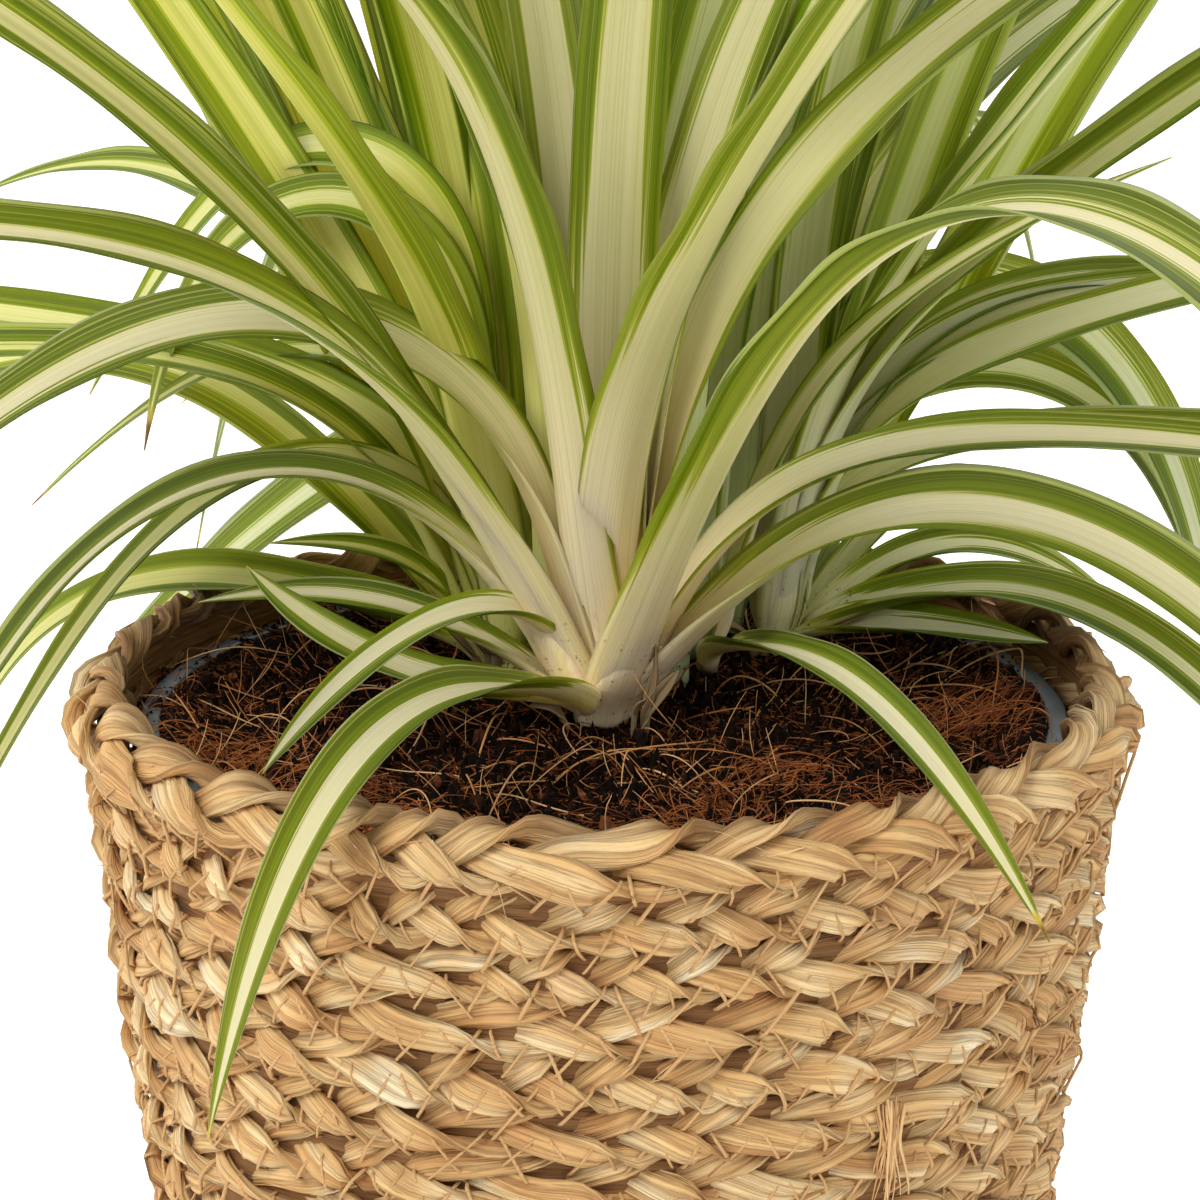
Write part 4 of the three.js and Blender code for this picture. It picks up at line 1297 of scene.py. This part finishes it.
def crown(name, plan, finish):
    """All the leaves of one crown as one object."""
    own = [plan.get(key, {}) for key in ("twists", "back")]
    growth = plan["pale"], plan.get("lime_and_light", 0)
    ring = ROOT_SHARE * plan["radius"]
    blades = [blade(plan["at"], ring, leaf, *growth, *(by.get(number, 0) for by in own))
              for number, leaf in enumerate(plan["leaves"])]
    return gathered(name, blades, finish)


def clasped_feet(name, plan, finish):
    """The feet of a crown's leaves where they clasp one another and close the notches, as one body.

    In the trough of each foot lies a flattened tube that narrows as it climbs, by a smooth step. The tubes
    are joined by voxels and smoothed. Every point then takes the numbers of the nearest midrib, so each
    leaf's lines run on down into the body.
    """
    sides = 12
    angle = round_turn(sides)
    tubes, marks = [], []
    for number, leaf in enumerate(plan["leaves"]):
        lean, length, width = leaf[1], leaf[4], leaf[5]
        if lean > CORE_LEAN:
            continue
        t, path, side, upper, _ = leaf_path(plan["at"], ROOT_SHARE * plan["radius"], leaf, int(length / 2))
        reach = CORE_REACH * (1 - lean / 90)
        near = t * length <= reach
        distance, path, side, upper = t[near] * length, path[near], side[near], upper[near]
        slim = eased(clip(distance / CORE_BULK, 0, 1)[:, None])
        close = np.sqrt(maximum(1 - (distance / reach) ** 4, 0.02))[:, None]
        half_width = width * (0.4 - 0.27 * slim) * close
        half_depth = width * (0.2 - 0.09 * slim) * close
        middle = path + upper * (half_depth - 0.9 + 1.1 * slim)
        tube = middle[:, None] + (half_width * cos(angle))[..., None] * side[:, None] + (
            half_depth * sin(angle))[..., None] * upper[:, None]
        rings = len(tube)
        tubes.append((drawn_in(tube, plan["at"]), [ring_quads(rings, sides), end_faces(rings, sides)], {}))
        marks.append(np.column_stack([path, side / (0.5 * width), distance, np.full(rings, float(number))]))
    piece = gathered(name, tubes, finish)
    joined = piece.modifiers.new("join", "REMESH")
    joined.mode = "VOXEL"
    joined.voxel_size = CORE_VOXEL * MM
    soften = piece.modifiers.new("soften", "SMOOTH")
    soften.factor = 0.5
    soften.iterations = 6
    apply_modifiers(piece)
    mesh = piece.data
    place = np.zeros(len(mesh.vertices) * 3)
    mesh.vertices.foreach_get("co", place)
    marks = concatenate(marks)
    apart = place.reshape(-1, 1, 3) / MM - marks[:, :3]
    nearest = np.argmin(np.sum(apart ** 2, -1), 1)
    offset = np.take_along_axis(apart, nearest[:, None, None], 1)[:, 0]
    beside, distance, number = marks[nearest, 3:6], marks[nearest, 6], marks[nearest, 7]
    for key, value in {
        "across": clip(np.sum(offset * beside, -1), -1, 1),
        "along": distance,
        "seed": number * GOLDEN_SECTION % 1,
        "shade": 0.5,
        "stripe": FOOT_STRIPE,
        "ripe": clip(distance / GREEN_BY, 0, 1),
        "cool": 1 - plan["pale"],
        "lime_and_light": plan.get("lime_and_light", 0),
        "dry": 0,
    }.items():
        give(mesh, key, np.broadcast_to(value, len(distance)))
    mesh.polygons.foreach_set("use_smooth", np.full(len(mesh.polygons), True))
    return piece


def dry_scales(finish):
    """Dried papery scales round the crowns' feet: small narrow blades, most of them at random places."""
    scales = [
        blade((6.5, -1), 1.5, (-50, 16, -30, 0.5, 16, 2.6), twist=50, clasping=0),
        blade((6, -1.5), 1.0, (-10, 8, 20, 0.5, 19, 2.0), twist=-40, clasping=0),
        blade((5.5, -2), 1.0, (-30, 30, 10, 0.5, 11, 2.4), twist=70, clasping=0),
        blade((4.5, -2), 1.0, (-70, 34, 30, 0.5, 8, 1.8), clasping=0),
        blade((-5, 0), 1.0, (-165, 66, 40, 0.5, 8, 2.6), clasping=0),
    ]
    for plan in (CROWNS["crown_left"], CROWNS["crown_right"], CROWNS["crown_rear"]):
        for scale in range(DRY_SCALE_COUNT // 3):
            row = (uniform(180, 360), uniform(10, 60), uniform(10, 60), 0.5,
                   uniform(7, 13), uniform(2.2, 3.8))
            scales.append(blade(plan["at"], plan["radius"], row, clasping=0))
    return gathered("dry_scales", scales, finish)


# ---------------------------------------------------------------- the object, put together

def dress(piece, slot, *nodes):
    """A piece rides with the one body and stands for the nodes that are named; the slot is not used."""
    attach(piece, "root")
    if nodes:
        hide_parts(*nodes)


set_camera()
area_light("key", (-1.0, -1.2, 1.7), (0, 0, 0.15), 1.2, 30)
area_light("fill", (1.4, -0.8, 1.0), (0, 0, 0.15), 1.6, 7)
area_light("back", (0.2, 1.6, 1.8), (0, 0, 0.2), 1.6, 16)
area_light("side", (-1.5, 0.4, 0.9), (0, 0, 0.2), 1.2, 8)

world = bpy.data.worlds.new("studio")
world.use_nodes = True
world.node_tree.nodes["Background"].inputs[0].default_value = (1, 1, 1, 1)
world.node_tree.nodes["Background"].inputs[1].default_value = 0.5
bpy.context.scene.world = world
bpy.context.scene.view_settings.view_transform = "Standard"

corners = FLOOR_REACH * np.array([[-1, -1, 0], [1, -1, 0], [1, 1, 0], [-1, 1, 0]])
floor = make_mesh("studio_floor", corners, [np.array([[0, 1, 2, 3]])], floor_finish())

seagrass = seagrass_finish("seagrass")
rows = basket_rows()
field = wall_height_field(rows)
for number, first in enumerate(range(0, ROW_COUNT, ROWS_PER_PIECE), 1):
    wall = gathered(f"basket_wall_{number}", rows[first:first + ROWS_PER_PIECE], seagrass)
    dress(wall, "seagrass", "basket")
dress(gathered("basket_floor", basket_underside(), seagrass), "seagrass", "basket")
dress(grass_cores(seagrass), "seagrass")
dress(stitching(field, twine_finish()), "seagrass")
wisp = fibre_finish("grass_wisps", (170, 122, 76), (214, 172, 118), (240, 214, 165))
dress(frayed_fibres(field, wisp), "seagrass")
dress(loose_end(field, wisp), "seagrass")

dress(nursery_pot(plastic_finish()), "pot_plastic", "nursery_pot")

coir = mix_finish()
dress(soil_mound(coir), "coir_mix", "soil")
dress(spilled_mix(coir), "coir_mix")
crumb = fibre_finish("coir_crumbs", (24, 12, 6), (62, 32, 16), (122, 68, 36), 0.85)
dress(crumbs("soil_crumbs", 1500, crumb), "coir_mix")
chip = fibre_finish("mineral_chips", (150, 140, 126), (196, 190, 178), (226, 222, 212), 0.8)
dress(crumbs("mineral_chips", 14, chip), "coir_mix")
red_fibre = fibre_finish("coir_fibres", (62, 28, 12), (126, 66, 30), (190, 116, 62))
dress(ground_fibres("coir_fibres", 4700, (3, 14), (0.06, 0.13), 1.2, 2.2, 7, 3, red_fibre), "coir_mix")
dark_fibre = fibre_finish("dark_fibres", (34, 16, 8), (80, 40, 18), (132, 72, 36))
dress(ground_fibres("dark_fibres", 4700, (2, 9), (0.08, 0.2), 1.5, 1.6, 7, 3, dark_fibre), "coir_mix")
dress(tufts("coir_tufts", TUFTS, 130, (8, 24), (0.06, 0.12), red_fibre, (0.35, 1)), "coir_mix")
moss = fibre_finish("moss", (52, 58, 36), (84, 92, 62), (120, 128, 92))
dress(tufts("moss", [(-24, -57, 40, 4)], 130, (2, 6), (0.06, 0.14), moss, (0, 1)), "coir_mix")
straw_root = fibre_finish("dry_roots", (148, 92, 50), (196, 140, 86), (228, 184, 130))
dress(ground_fibres("dry_roots", 190, (10, 36), (0.09, 0.19), 0.9, 6, 20, 5, straw_root), "coir_mix")
dress(bristles("standing_fibres", 420, (3, 13), (0.06, 0.14), straw_root), "coir_mix")

green = leaf_finish()
for node, crown_plan in CROWNS.items():
    dress(crown(f"leaves_of_{node}", crown_plan, green), "leaf", node)
    dress(clasped_feet(f"feet_of_{node}", crown_plan, green), "leaf")
dress(hearts(green), "leaf")
dress(dry_scales(paper_finish()), "leaf")
